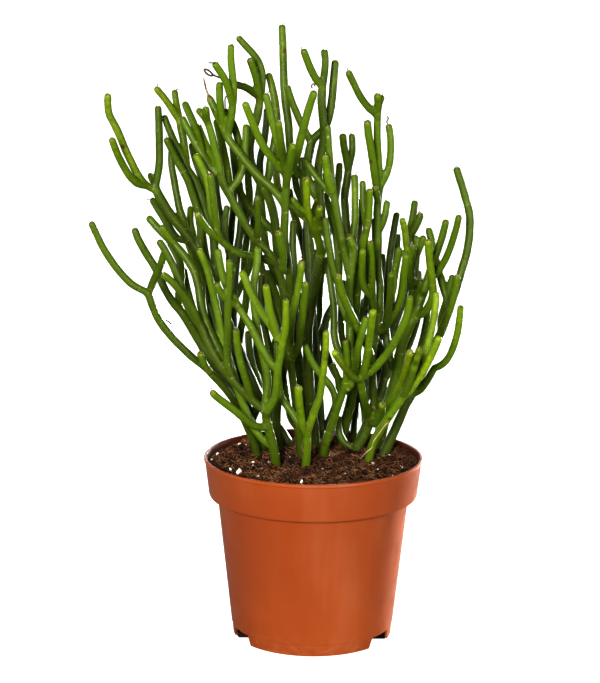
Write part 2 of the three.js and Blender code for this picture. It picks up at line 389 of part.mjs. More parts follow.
function soilSolid() {
  const [lowRadius, lowHeight] = COLLAR_INSIDE_LOW;
  const [highRadius, highHeight] = COLLAR_INSIDE_HIGH;
  const along = (SOIL_EDGE_HEIGHT - lowHeight) / (highHeight - lowHeight);
  const edgeRadius = lowRadius + (highRadius - lowRadius) * along - FIT_GAP;
  const sides = insideOfPot.map(([radius, height]) => [Math.max(radius - FIT_GAP, 0), height + FIT_GAP]);
  const top = SOIL_RINGS.map((radius) => [radius, SOIL_EDGE_HEIGHT]);
  const profile = [...sides.reverse(), [edgeRadius, SOIL_EDGE_HEIGHT - 0.5], ...top, [0, SOIL_EDGE_HEIGHT]];
  const geometry = turned(profile, ROUND_SIDES);
  const at = geometry.attributes.position;
  for (let i = 0; i < at.count; i++) {
    const [x, y, z] = [at.getX(i), at.getY(i), at.getZ(i)];
    if (z > SOIL_EDGE_HEIGHT - 0.1) at.setZ(i, soilHeight(x, y));
  }
  return toSolid(geometry);
}

// ---------------------------------------------------------------- stems: their way through space

let seed = 7;
function draw() {
  seed = (seed * 16807) % 2147483647;
  return seed / 2147483647;
}

function place(sample) {
  const reach = 1 + sample.behind / EYE_DISTANCE;
  return new THREE.Vector3(sample.across * reach, sample.behind, EYE_HEIGHT + (sample.height - EYE_HEIGHT) * reach);
}

// Samples every few millimetres along each twig. A twig's first sample is the one on its parent
// that is nearest to where its way starts.
function sampleStem(stemName, { stands, twigs: rows }) {
  const twigs = [];
  for (const [name, parentName, tipBehind, way] of rows) {
    const points = [];
    for (let i = 0; i < way.length; i += 2) points.push(new THREE.Vector3(way[i], way[i + 1], 0));
    const parent = twigs.find((twig) => twig.name === parentName);
    let rootIndex = 0;
    let root = { across: way[0], height: way[1], behind: stands, stem: stemName, step: 0 };
    if (parent) {
      const distance = (sample) => Math.hypot(sample.across - way[0], sample.height - way[1]);
      parent.samples.forEach((sample, i) => {
        if (distance(sample) < distance(parent.samples[rootIndex])) rootIndex = i;
      });
      root = parent.samples[rootIndex];
      points[0].set(root.across, root.height, 0);
    }
    const curve = new THREE.CatmullRomCurve3(points, false, 'catmullrom', 0.5);
    const steps = Math.max(3, Math.round(curve.getLength() / SAMPLE_STEP));
    const samples = curve.getSpacedPoints(steps).map((point, step) => ({
      across: point.x,
      height: point.y,
      behind: root.behind + (tipBehind - root.behind) * step / steps,
      stem: stemName,
      step,
      twig: name,
    }));
    samples[0] = root;
    if (!parent) root.twig = name;
    twigs.push({ name, parent, rootIndex, samples, tips: 1, thickness: 1 + TIP_VARIATION * (2 * draw() - 1) });
  }
  for (const twig of [...twigs].reverse()) {
    if (twig.parent) twig.parent.tips += twig.tips;
  }
  for (const twig of twigs) {
    const children = twigs.filter((other) => other.parent === twig);
    twig.radii = twig.samples.map((sample, i) => {
      const carried = children.filter((child) => child.rootIndex > i).reduce((sum, child) => sum + child.tips, 1);
      return TIP_RADIUS * twig.thickness * carried ** THICKENING;
    });
    twig.samples.forEach((sample, i) => {
      sample.radius = Math.max(sample.radius ?? 0, twig.radii[i]);
    });
  }
  return twigs;
}

// Twigs that pass each other are bent clear along the line of sight, each keeping its side.
function bendClear(stems) {
  const twigs = stems.flat();
  const samples = [...new Set(twigs.flatMap((twig) => twig.samples))];
  const pairs = [];
  samples.forEach((one, i) => {
    for (const other of samples.slice(i + 1)) {
      const reach = one.radius + other.radius + CLEAR;
      if (Math.abs(one.across - other.across) > 1.1 * reach) continue;
      if (Math.abs(one.height - other.height) > 1.1 * reach) continue;
      const related = one.stem === other.stem;
      if (related && (one.twig === other.twig || one.step < ROOT_SAMPLES || other.step < ROOT_SAMPLES)) continue;
      pairs.push(one.behind <= other.behind ? [one, other, reach] : [other, one, reach]);
    }
  });
  for (let pass = 0; pass < BENDING_PASSES; pass++) {
    for (const [front, back, reach] of pairs) {
      const from = place(front);
      const to = place(back);
      const apart = (from.x - to.x) ** 2 + (from.z - to.z) ** 2;
      if (apart >= reach * reach) continue;
      const lack = Math.sqrt(reach * reach - apart) - (back.behind - front.behind);
      if (lack <= 0) continue;
      if (front.height > GROUND_LEVEL) front.behind -= 0.3 * lack;
      if (back.height > GROUND_LEVEL) back.behind += 0.3 * lack;
    }
    if (pass > BENDING_PASSES - 12) continue;
    for (const twig of twigs) {
      for (let i = 1; i < twig.samples.length - 1; i++) {
        const sample = twig.samples[i];
        const middle = (twig.samples[i - 1].behind + twig.samples[i + 1].behind) / 2;
        if (sample.height > GROUND_LEVEL) sample.behind += BENDING_EASE * (middle - sample.behind);
      }
    }
  }
}

// ---------------------------------------------------------------- stems: their solids

// The samples that a tube needs: none is left out that lies further than the tolerance from the
// straight line between its neighbours.
function neededPoints(points, first, last) {
  let furthest = 0;
  let split = -1;
  const line = new THREE.Line3(points[first], points[last]);
  const onLine = new THREE.Vector3();
  for (let i = first + 1; i < last; i++) {
    const distance = line.closestPointToPoint(points[i], true, onLine).distanceTo(points[i]);
    if (distance > furthest) [furthest, split] = [distance, i];
  }
  if (furthest < BEND_TOLERANCE) return [first, last];
  return [...neededPoints(points, first, split).slice(0, -1), ...neededPoints(points, split, last)];
}

function twigTube(twig, extra = 0) {
  const points = twig.samples.map(place);
  const kept = neededPoints(points, 0, points.length - 1);
  const centres = kept.map((i) => points[i].clone());
  const radii = kept.map((i) => ROUNDING_UP * twig.radii[i] + extra);

  // The end is domed: the last ring stands back by half the radius, and a smaller one before the tip.
  const end = centres.length - 1;
  const radius = radii[end];
  const ahead = centres[end].clone().sub(centres[end - 1]).normalize();
  const tip = centres[end].clone();
  centres[end] = tip.clone().addScaledVector(ahead, -0.75 * radius);
  centres.push(tip.clone().addScaledVector(ahead, -0.2 * radius));
  radii.push(0.72 * radius);
  if (extra > 0) {
    const down = centres[1].clone().sub(centres[0]).normalize();
    centres[0].addScaledVector(down, -extra);
  }

  const positions = [];
  const corners = [];
  const across = new THREE.Vector3(1, 0.2, 0);
  centres.forEach((centre, k) => {
    const before = centres[Math.max(k - 1, 0)];
    const after = centres[Math.min(k + 1, centres.length - 1)];
    const along = after.clone().sub(before).normalize();
    across.addScaledVector(along, -across.dot(along)).normalize();
    const other = along.clone().cross(across);
    for (let side = 0; side < TWIG_SIDES; side++) {
      const angle = side / TWIG_SIDES * 2 * Math.PI;
      const point = centre.clone();
      point.addScaledVector(across, radii[k] * Math.cos(angle));
      point.addScaledVector(other, radii[k] * Math.sin(angle));
      positions.push(point.x, point.y, point.z);
    }
  });
  positions.push(tip.x, tip.y, tip.z);
  const apex = positions.length / 3 - 1;
  const rings = centres.length;
  for (let side = 0; side < TWIG_SIDES; side++) {
    const next = (side + 1) % TWIG_SIDES;
    for (let ring = 0; ring < rings - 1; ring++) {
      const low = ring * TWIG_SIDES;
      const high = low + TWIG_SIDES;
      corners.push(low + side, low + next, high + next, low + side, high + next, high + side);
    }
    const last = (rings - 1) * TWIG_SIDES;
    corners.push(last + side, last + next, apex);
    if (side > 1) corners.push(0, side, side - 1);
  }
  return closedGeometry(positions, corners);
}

function stemSolid(twigs) {
  return twigs.map((twig) => toSolid(twigTube(twig))).reduce((whole, part) => whole.add(part));
}

// ---------------------------------------------------------------- the object

const terracotta = new THREE.MeshStandardMaterial({ color: 0xba5328, roughness: 0.38, metalness: 0 });
const peat = new THREE.MeshStandardMaterial({ color: 0x3a2418, roughness: 0.95, metalness: 0 });

const plant = new THREE.Group();

function addPiece(name, solid, material) {
  const mesh = new THREE.Mesh(toGeometry(solid), material);
  mesh.name = name;
  plant.add(mesh);
}

const stems = Object.entries(STEMS).map(([name, stem]) => sampleStem(name, stem));
bendClear(stems);

let soil = soilSolid();
for (const [trunk] of stems) {
  soil = soil.subtract(toSolid(twigTube(trunk, FIT_GAP + 0.1)));
}

addPiece('pot', potSolid(), terracotta);
addPiece('soil', soil, peat);
Object.keys(STEMS).forEach((name, i) => {
  const green = new THREE.MeshStandardMaterial({ color: 0x4f7a1c, roughness: 0.42, metalness: 0 });
  addPiece(`stem_${name}`, stemSolid(stems[i]), green);
});

export default plant;
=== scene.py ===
# %% [markdown]
# # A potted pencil euphorbia
#
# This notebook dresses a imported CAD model: a nursery pot, its soil and eighteen rooted cuttings of a
# leafless euphorbia. The CAD holds the real sizes, and its stems have flat sides and hard forks.
# Here each piece is made again in the same place, with round twigs, grown-together forks, loose soil
# and the finish of moulded plastic. Lengths are metres, but names that end in _MM are millimetres, and
# so are all measures of a twig until it becomes a mesh.

import json
import math
import random

import bmesh
import bpy
import numpy as np
from mathutils import Matrix, Vector, kdtree, noise

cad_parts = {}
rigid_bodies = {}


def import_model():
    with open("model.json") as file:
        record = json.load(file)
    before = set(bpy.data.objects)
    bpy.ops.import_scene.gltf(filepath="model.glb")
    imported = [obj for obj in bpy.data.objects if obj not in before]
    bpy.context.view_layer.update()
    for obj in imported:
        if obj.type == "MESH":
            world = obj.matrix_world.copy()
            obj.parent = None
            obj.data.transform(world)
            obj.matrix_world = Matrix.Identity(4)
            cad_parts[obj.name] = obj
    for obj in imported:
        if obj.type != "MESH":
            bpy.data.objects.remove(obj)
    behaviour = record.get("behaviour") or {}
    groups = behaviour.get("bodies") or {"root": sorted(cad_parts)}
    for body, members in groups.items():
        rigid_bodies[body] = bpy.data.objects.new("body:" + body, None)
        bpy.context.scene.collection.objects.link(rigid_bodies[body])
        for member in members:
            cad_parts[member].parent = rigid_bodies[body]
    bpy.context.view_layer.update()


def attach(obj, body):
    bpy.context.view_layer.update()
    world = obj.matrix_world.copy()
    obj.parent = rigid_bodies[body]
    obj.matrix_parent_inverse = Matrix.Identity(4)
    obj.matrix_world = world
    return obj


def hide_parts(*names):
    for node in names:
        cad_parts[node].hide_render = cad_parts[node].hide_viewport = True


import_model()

# %% [markdown]
# ## The camera
# The pot's rim, collar and foot are circles, so the ellipses that they make in the photograph say
# where the camera was: a metre and a half away and some forty centimetres above the rim, with a long
# lens. The camera is placed with three axes: where it looks, its right and its up. Its turns are in
# radians.

# %% Camera
EYE = Vector((0, -1.520, 0.550))
LOOKS_DOWN = 0.206
LOOKS_LEFT = 0.0072
LEANS = 0.0069
LENS_MM = 106.4
SENSOR_HEIGHT_MM = 36
NEAREST_SEEN = 0.05


def new_object(name, data):
    thing = bpy.data.objects.new(name, data)
    bpy.context.scene.collection.objects.link(thing)
    return thing


def camera_axes():
    ahead = Vector((-math.sin(LOOKS_LEFT) * math.cos(LOOKS_DOWN),
                    math.cos(LOOKS_LEFT) * math.cos(LOOKS_DOWN), -math.sin(LOOKS_DOWN)))
    right = ahead.cross(Vector((0, 0, 1))).normalized()
    up = right.cross(ahead)
    leaning_right = math.cos(LEANS) * right + math.sin(LEANS) * up
    leaning_up = math.cos(LEANS) * up - math.sin(LEANS) * right
    return leaning_right, leaning_up, -ahead


camera_data = bpy.data.cameras.new("photo_camera")
camera_data.sensor_fit = "VERTICAL"
camera_data.sensor_height = SENSOR_HEIGHT_MM
camera_data.lens = LENS_MM
camera_data.clip_start = NEAREST_SEEN
camera = new_object("photo_camera", camera_data)
camera_turn = Matrix(camera_axes()).transposed().to_4x4()
camera.matrix_world = Matrix.Translation(EYE) @ camera_turn
bpy.context.scene.camera = camera
print("lens:", LENS_MM, "mm, eye at", tuple(EYE))

# %% [markdown]
# ## Small helpers for meshes
# A bmesh is Blender's modelling mesh, and its operators work on the whole of it. Each piece is made in
# one, becomes an object, rides on the part's single body and stands for its CAD node. A modifier is
# applied by asking Blender for the mesh that it makes.

# %% Objects from meshes
MM = 0.001


def finished_piece(name, mesh, material, node=None, smooth=True):
    piece = new_object(name, mesh)
    mesh.materials.clear()
    mesh.materials.append(material)
    if smooth:
        mesh.shade_smooth()
    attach(piece, "root")
    if node:
        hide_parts(node)
    print(name, len(mesh.vertices), "points")


def mesh_from(bm, name):
    mesh = bpy.data.meshes.new(name)
    bm.to_mesh(mesh)
    bm.free()
    return mesh


def evaluated_mesh(carrier):
    """The mesh that an object's data and modifiers make. The object itself is used up."""
    evaluated = carrier.evaluated_get(bpy.context.evaluated_depsgraph_get())
    mesh = bpy.data.meshes.new_from_object(evaluated)
    bpy.data.objects.remove(carrier)
    return mesh


def with_modifiers_applied(mesh, modifiers):
    """The mesh that a list of (type, settings) modifiers makes of this one."""
    carrier = new_object("carrier", mesh)
    for kind, settings in modifiers:
        modifier = carrier.modifiers.new(kind.lower(), kind)
        for setting, value in settings.items():
            setattr(modifier, setting, value)
    return evaluated_mesh(carrier)


# %% [markdown]
# ## Material helpers
# A finish is painted in coats. Each coat is a mask, which says where it lies, and a colour, and a Mix
# node lays it over what is there. Node trees are easier to read when one short call makes a node, sets
# its inputs and links what is a socket, so `Nodes` has such a call for each kind that is used here.

# %% Nodes
EVEN_ROUGHNESS = 0.55
MIX_LOW, MIX_HIGH, MIX_RESULT = 6, 7, 2


class Nodes:
    def __init__(self, tree):
        self.tree = tree

    def plug(self, socket, value):
        """Links a socket to another one, or gives it a number, a colour or a vector."""
        if isinstance(value, bpy.types.NodeSocket):
            self.tree.links.new(value, socket)
        elif socket.type == "RGBA":
            socket.default_value = (*value, 1)
        else:
            socket.default_value = value

    def add(self, kind, settings=None, **inputs):
        node = self.tree.nodes.new(kind)
        for setting, value in (settings or {}).items():
            setattr(node, setting, value)
        for name, value in inputs.items():
            self.plug(node.inputs[name], value)
        return node

    def maths(self, operation, first, second):
        node = self.add("ShaderNodeMath", {"operation": operation})
        self.plug(node.inputs[0], first)
        self.plug(node.inputs[1], second)
        return node.outputs[0]

    def total(self, *parts):
        """The sum of pairs of a value and its weight."""
        weighed = [self.maths("MULTIPLY", value, weight) for value, weight in parts]
        whole = weighed[0]
        for part in weighed[1:]:
            whole = self.maths("ADD", whole, part)
        return whole

    def mix(self, amount, low, high):
        node = self.add("ShaderNodeMix", {"data_type": "RGBA"}, Factor=amount)
        self.plug(node.inputs[MIX_LOW], low)
        self.plug(node.inputs[MIX_HIGH], high)
        return node.outputs[MIX_RESULT]

    def remap(self, value, low, high, to_low=0.0, to_high=1.0):
        """Runs softly from to_low to to_high while the value goes from low to high."""
        node = self.add("ShaderNodeMapRange", {"interpolation_type": "SMOOTHSTEP"}, Value=value)
        for name, number in (("From Min", low), ("From Max", high), ("To Min", to_low), ("To Max", to_high)):
            self.plug(node.inputs[name], number)
        return node.outputs["Result"]

    def noise_at(self, vector, scale, detail, roughness=EVEN_ROUGHNESS):
        node = self.add("ShaderNodeTexNoise", Vector=vector, Scale=scale, Detail=detail, Roughness=roughness)
        return node.outputs["Fac"]

    def along(self, vector, axis):
        return self.add("ShaderNodeSeparateXYZ", Vector=vector).outputs[axis]


# %% [markdown]
# `Finish` adds the material to that, with its coats of colour and its dents. A value that is the same
# all over goes straight into the shader's own socket. Masks and noises read Object coordinates, so a
# pattern has the same scale on every piece, in metres.

# %% Finishes
class Finish(Nodes):
    def __init__(self, name, roughness, first_colour):
        self.material = bpy.data.materials.new(name)
        self.material.use_nodes = True
        super().__init__(self.material.node_tree)
        self.shader = self.tree.nodes["Principled BSDF"]
        self.place = self.tree.nodes.new("ShaderNodeTexCoord").outputs["Object"]
        self.colour, self.normal = first_colour, None
        self.give("Roughness", roughness)

    def give(self, socket, value):
        self.plug(self.shader.inputs[socket], value)

    def noise(self, scale, detail, roughness=EVEN_ROUGHNESS):
        return self.noise_at(self.place, scale, detail, roughness)

    def attribute(self, name):
        return self.add("ShaderNodeAttribute", {"attribute_name": name}).outputs["Fac"]

    def mask(self, group, **numbers):
        """What a mask group makes of this piece's places and the given numbers."""
        return self.add("ShaderNodeGroup", {"node_tree": group}, Vector=self.place, **numbers).outputs["Mask"]

    def coat(self, mask, colour, strength=None):
        """Lays a colour over what is there, as far as the mask and the strength say."""
        amount = self.maths("MULTIPLY", mask, strength) if strength else mask
        self.colour = self.mix(amount, self.colour, colour)

    def dent(self, height, strength, distance):
        """Lays a bump over the ones before."""
        bump = self.add("ShaderNodeBump", Strength=strength, Distance=distance, Height=height)
        if self.normal:
            self.plug(bump.inputs["Normal"], self.normal)
        self.normal = bump.outputs["Normal"]

    def finished(self):
        self.give("Base Color", self.colour)
        if self.normal:
            self.give("Normal", self.normal)
        print(self.material.name, "has", len(self.tree.nodes), "nodes")
        return self.material


# %% [markdown]
# ## Speckle and patches, shared by the finishes
# Dust, pores, scars and threads are speckle: small round marks of uneven size. A Voronoi texture makes
# them, when only the middle of each of its cells is kept, and only a share of the cells. Stains and
# changes of tone are patches: soft clouds, cut out of a noise texture between a low and a high value.
# Nearly every finish here needs them, so each is a node group, built once and given its own numbers
# in each material.

# %% Speckle and patches
def mask_group(name, *numbers):
    """A new group that reads a Vector and some numbers, and puts out a Mask."""
    tree = bpy.data.node_groups.new(name, "ShaderNodeTree")
    tree.interface.new_socket("Vector", in_out="INPUT", socket_type="NodeSocketVector")
    for number in numbers:
        tree.interface.new_socket(number, in_out="INPUT", socket_type="NodeSocketFloat")
    tree.interface.new_socket("Mask", in_out="OUTPUT", socket_type="NodeSocketFloat")
    given = tree.nodes.new("NodeGroupInput").outputs
    return Nodes(tree), given, tree.nodes.new("NodeGroupOutput").inputs["Mask"]


group, given, mask = mask_group("speckle", "Scale", "Size", "Share")
cells = group.add("ShaderNodeTexVoronoi", Vector=given["Vector"], Scale=given["Scale"], Randomness=1.0)
cell_colour = group.add("ShaderNodeSeparateColor", Color=cells.outputs["Color"])
inside_dot = group.maths("LESS_THAN", cells.outputs["Distance"], given["Size"])
chosen_cell = group.maths("LESS_THAN", cell_colour.outputs["Red"], given["Share"])
group.plug(mask, group.maths("MULTIPLY", inside_dot, chosen_cell))
speckle = group.tree

group, given, mask = mask_group("patches", "Scale", "Detail", "Low", "High")
clouds = group.noise_at(given["Vector"], given["Scale"], given["Detail"])
group.plug(mask, group.remap(clouds, given["Low"], given["High"]))
patches = group.tree
print("groups:", speckle.name, "and", patches.name)

# %% [markdown]
# ## The pot's shape
# A nursery pot is moulded in one shot: a thin tapering wall, a wide collar that stiffens the rim, a
# foot ring with notches for drainage and a raised floor. It is turned: the wall's outline is drawn
# once, in radius and height, and spun round the axis. The real plastic has small round edges
# everywhere, so a bevel follows.

# %% Pot sizes
POT_HEIGHT = 142 * MM
RIM_RADIUS = 85 * MM
COLLAR_FOOT_HEIGHT = 111.2 * MM
COLLAR_FOOT_RADIUS = 81.2 * MM
BODY_TOP_RADIUS = 74.5 * MM
FOOT_RADIUS = 62.5 * MM
WALL = 1.6 * MM
WALL_CORNER = 1 * MM
LIP = 2.4 * MM
LIP_CORNER = 0.5 * MM
LIP_DROP = 1.2 * MM
FLOOR_THICKNESS = 1.8 * MM
FLOOR_RAISED = 7.5 * MM
FLOOR_TOP = FLOOR_RAISED + FLOOR_THICKNESS
PAD_RADIUS = 34 * MM
PAD_SLOPE = 4 * MM
PAD_WALL = 1.1 * MM
FOOT_LINE_HEIGHT = 9 * MM
FOOT_LINE_STEP = 0.4 * MM
COLLAR_FLOOR = COLLAR_FOOT_HEIGHT + WALL
COLLAR_CORNER = 0.8 * MM
COLLAR_FOOT_EDGE_MM = [(2.2, 0), (0.7, 0.8), (0, 2.4)]
RIM_EDGE_MM = [(0.7, 3.0), (0, 2.4), (0, 0.6), (0.6, 0)]


def body_radius(height):
    return FOOT_RADIUS + (BODY_TOP_RADIUS - FOOT_RADIUS) * height / COLLAR_FOOT_HEIGHT


print("the wall leans", round(math.degrees(math.atan2(BODY_TOP_RADIUS - FOOT_RADIUS, COLLAR_FOOT_HEIGHT)), 1),
      "degrees")

# %% [markdown]
# The outline runs from the middle of the foot out and up the outer face, over the lip and down the
# inside. The two rounded edges are lists of steps, inwards from the edge and up or down.

# %% Pot outline
POT_STEPS = 144
COLLAR_INSIDE_LOW = (COLLAR_FOOT_RADIUS - WALL, COLLAR_FLOOR + COLLAR_CORNER)
COLLAR_INSIDE_HIGH = (RIM_RADIUS - LIP, POT_HEIGHT - LIP_DROP)
INSIDE_OF_POT = [
    COLLAR_INSIDE_LOW,
    (COLLAR_INSIDE_LOW[0] - COLLAR_CORNER, COLLAR_FLOOR),
    (body_radius(COLLAR_FOOT_HEIGHT) - WALL, COLLAR_FLOOR),
    (body_radius(COLLAR_FOOT_HEIGHT) - WALL, COLLAR_FLOOR - WALL_CORNER),
    (body_radius(FLOOR_TOP) - WALL, FLOOR_TOP),
    (PAD_RADIUS - PAD_WALL + PAD_SLOPE, FLOOR_TOP),
    (PAD_RADIUS - PAD_WALL, FLOOR_THICKNESS),
    (0, FLOOR_THICKNESS),
]
POT_OUTLINE = [
    (0, 0),
    (PAD_RADIUS, 0),
    (PAD_RADIUS + PAD_SLOPE, FLOOR_RAISED),
    (body_radius(FLOOR_RAISED) - WALL - FOOT_LINE_STEP, FLOOR_RAISED),
    (FOOT_RADIUS - WALL - FOOT_LINE_STEP, 0),
    (FOOT_RADIUS - FOOT_LINE_STEP, 0),
    (body_radius(FOOT_LINE_HEIGHT) - FOOT_LINE_STEP, FOOT_LINE_HEIGHT),
    (body_radius(FOOT_LINE_HEIGHT), FOOT_LINE_HEIGHT + FOOT_LINE_STEP),
    (BODY_TOP_RADIUS, COLLAR_FOOT_HEIGHT),
    *[(COLLAR_FOOT_RADIUS - inner * MM, COLLAR_FOOT_HEIGHT + up * MM) for inner, up in COLLAR_FOOT_EDGE_MM],
    *[(RIM_RADIUS - inner * MM, POT_HEIGHT - down * MM) for inner, down in RIM_EDGE_MM],
    (RIM_RADIUS - LIP + LIP_CORNER, POT_HEIGHT),
    COLLAR_INSIDE_HIGH,
    *INSIDE_OF_POT,
]


def spun(outline, steps):
    bm = bmesh.new()
    points = [bm.verts.new((radius, 0, height)) for radius, height in outline]
    for first, second in zip(points, points[1:]):
        bm.edges.new((first, second))
    bmesh.ops.spin(bm, geom=bm.verts[:] + bm.edges[:], cent=(0, 0, 0), axis=(0, 0, 1),
                   angle=2 * math.pi, steps=steps, use_merge=True, use_duplicate=False)
    bmesh.ops.remove_doubles(bm, verts=bm.verts[:], dist=1e-6)
    bmesh.ops.recalc_face_normals(bm, faces=bm.faces[:])
    return bm


pot_bm = spun(POT_OUTLINE, POT_STEPS)
print("pot:", len(pot_bm.faces), "faces")

# %% [markdown]
# The foot's notches and the drain holes are cut with a Boolean. Each cutter is a plain block or
# cylinder, and all of them are one mesh, so one Boolean does the work. A notch is wider at the foot
# than at its top, and its block reaches a little below the foot, where it is wider still.

# %% Cut the notches and the drain holes
NOTCH_HEIGHT = 8 * MM
NOTCH_WIDTH_LOW = 27 * MM
NOTCH_WIDTH_HIGH = 22 * MM
NOTCH_FLARE = 1.2 * MM
NOTCH_TURNS = (-62, 58, 178)
DRAIN_HOLES = 6
DRAIN_HOLE_RADIUS = 4 * MM
DRAIN_HOLE_SIDES = 32
DRAIN_CIRCLE_RADIUS = 49 * MM
DRAIN_CUTTER_DEPTH = 8 * MM
CUTTER_FOOT = -2 * MM
CUTTER_DEPTH = 16 * MM
CUTTER_BACK = -FOOT_RADIUS + 10 * MM
EDGE_ROUNDING = 0.35 * MM
SHARP_ANGLE = 28

cutters = bmesh.new()
for turn in NOTCH_TURNS:
    block = bmesh.ops.create_cube(cutters, size=1)["verts"]
    for corner in block:
        high = corner.co.z > 0
        corner.co.z = NOTCH_HEIGHT if high else CUTTER_FOOT
        corner.co.x *= NOTCH_WIDTH_HIGH if high else NOTCH_WIDTH_LOW + NOTCH_FLARE
        corner.co.y = CUTTER_BACK if corner.co.y > 0 else CUTTER_BACK - CUTTER_DEPTH
    bmesh.ops.rotate(cutters, verts=block, cent=(0, 0, 0), matrix=Matrix.Rotation(math.radians(turn), 3, "Z"))
for hole in range(DRAIN_HOLES):
    angle = (hole + 0.5) / DRAIN_HOLES * 2 * math.pi
    where = Vector((math.cos(angle), math.sin(angle), 0)) * DRAIN_CIRCLE_RADIUS
    where.z = FLOOR_TOP - FLOOR_THICKNESS / 2
    bmesh.ops.create_cone(cutters, cap_ends=True, segments=DRAIN_HOLE_SIDES, depth=DRAIN_CUTTER_DEPTH,
                          radius1=DRAIN_HOLE_RADIUS, radius2=DRAIN_HOLE_RADIUS,
                          matrix=Matrix.Translation(where))
cutter_object = new_object("pot_cutters", mesh_from(cutters, "pot_cutters"))

pot_mesh = with_modifiers_applied(mesh_from(pot_bm, "pot"), [
    ("BOOLEAN", {"operation": "DIFFERENCE", "solver": "MANIFOLD", "object": cutter_object}),
    ("BEVEL", {"width": EDGE_ROUNDING, "segments": 2, "limit_method": "ANGLE",
               "angle_limit": math.radians(SHARP_ANGLE)}),
])
bpy.data.objects.remove(cutter_object)
print("cut and rounded:", len(pot_mesh.polygons), "faces")

# %% [markdown]
# ## The pot's plastic
# The plastic is a brown terracotta colour all through, with a satin skin. Up close it has a fine
# orange-peel grain from the mould and faint lines where the melt flowed up the wall, and some dust
# stays at the foot. The flow lines are a noise stretched along the height. The inside of the wall is
# painted dark as painted shade, so every point of the mesh that faces the axis above the floor keeps
# that in an attribute.

# %% Pot plastic
PLASTIC = (0.289, 0.070, 0.017)
PLASTIC_DEEP = (0.253, 0.057, 0.013)
PLASTIC_PAINTED_SHADE = (0.060, 0.014, 0.008)
PLASTIC_DUSTY = (0.45, 0.20, 0.11)
STRETCHED_UP = (1, 1, 0.12)
DUSTY_TO_HEIGHT = 20 * MM
FACES_INWARDS = -0.2

plastic = Finish("pot_plastic", roughness=0.36, first_colour=PLASTIC_DEEP)
stretched = plastic.add("ShaderNodeMapping", Vector=plastic.place, Scale=STRETCHED_UP).outputs["Vector"]
flow_lines = plastic.noise_at(stretched, scale=42, detail=4)
plastic.coat(plastic.mask(patches, Scale=11, Detail=3, Low=0.3, High=0.7), PLASTIC)
plastic.coat(plastic.remap(flow_lines, low=0.45, high=0.75), PLASTIC_DUSTY, strength=0.12)
foot_dust = plastic.remap(plastic.along(plastic.place, "Z"), low=DUSTY_TO_HEIGHT, high=0.0)
dust_patches = plastic.mask(patches, Scale=160, Detail=4, Low=0.4, High=0.7)
plastic.coat(plastic.maths("MULTIPLY", foot_dust, dust_patches), PLASTIC_DUSTY, strength=0.20)
# painted shade: the wall's inner face is darkened nearly to black-brown, standing in for the shade inside the
# pot
plastic.coat(plastic.attribute("painted_inside_shade"), PLASTIC_PAINTED_SHADE, strength=0.85)
plastic.dent(plastic.noise(scale=1500, detail=2), strength=0.10, distance=0.3 * MM)
plastic.dent(flow_lines, strength=0.25, distance=0.6 * MM)
handled = plastic.remap(plastic.noise(scale=70, detail=4), low=0.3, high=0.8, to_low=0.32, to_high=0.46)
plastic.give("Roughness", handled)
plastic.give("Specular IOR Level", 0.42)

# the mask of that painted shade: points that face the axis above the floor
painted_inside_shade = np.zeros(len(pot_mesh.vertices), np.float32)
for vertex in pot_mesh.vertices:
    outwards = vertex.normal.dot(Vector((vertex.co.x, vertex.co.y, 0)).normalized())
    painted_inside_shade[vertex.index] = outwards < FACES_INWARDS and vertex.co.z > FLOOR_TOP
pot_mesh.attributes.new("painted_inside_shade", "FLOAT", "POINT").data.foreach_set("value", painted_inside_shade)
finished_piece("pot_finished", pot_mesh, plastic.finished(), "pot")

# %% [markdown]
# ## How each stem grows
# Every stem is a set of twigs. A twig's way is written as it is seen from the front, on the plane
# through the pot's axis, and a depth says how far behind that plane it stands. The first point lies on
# the twig that it grows on. These are the CAD's own values, in millimetres, so that the round stems
# stay inside the flat-sided ones.

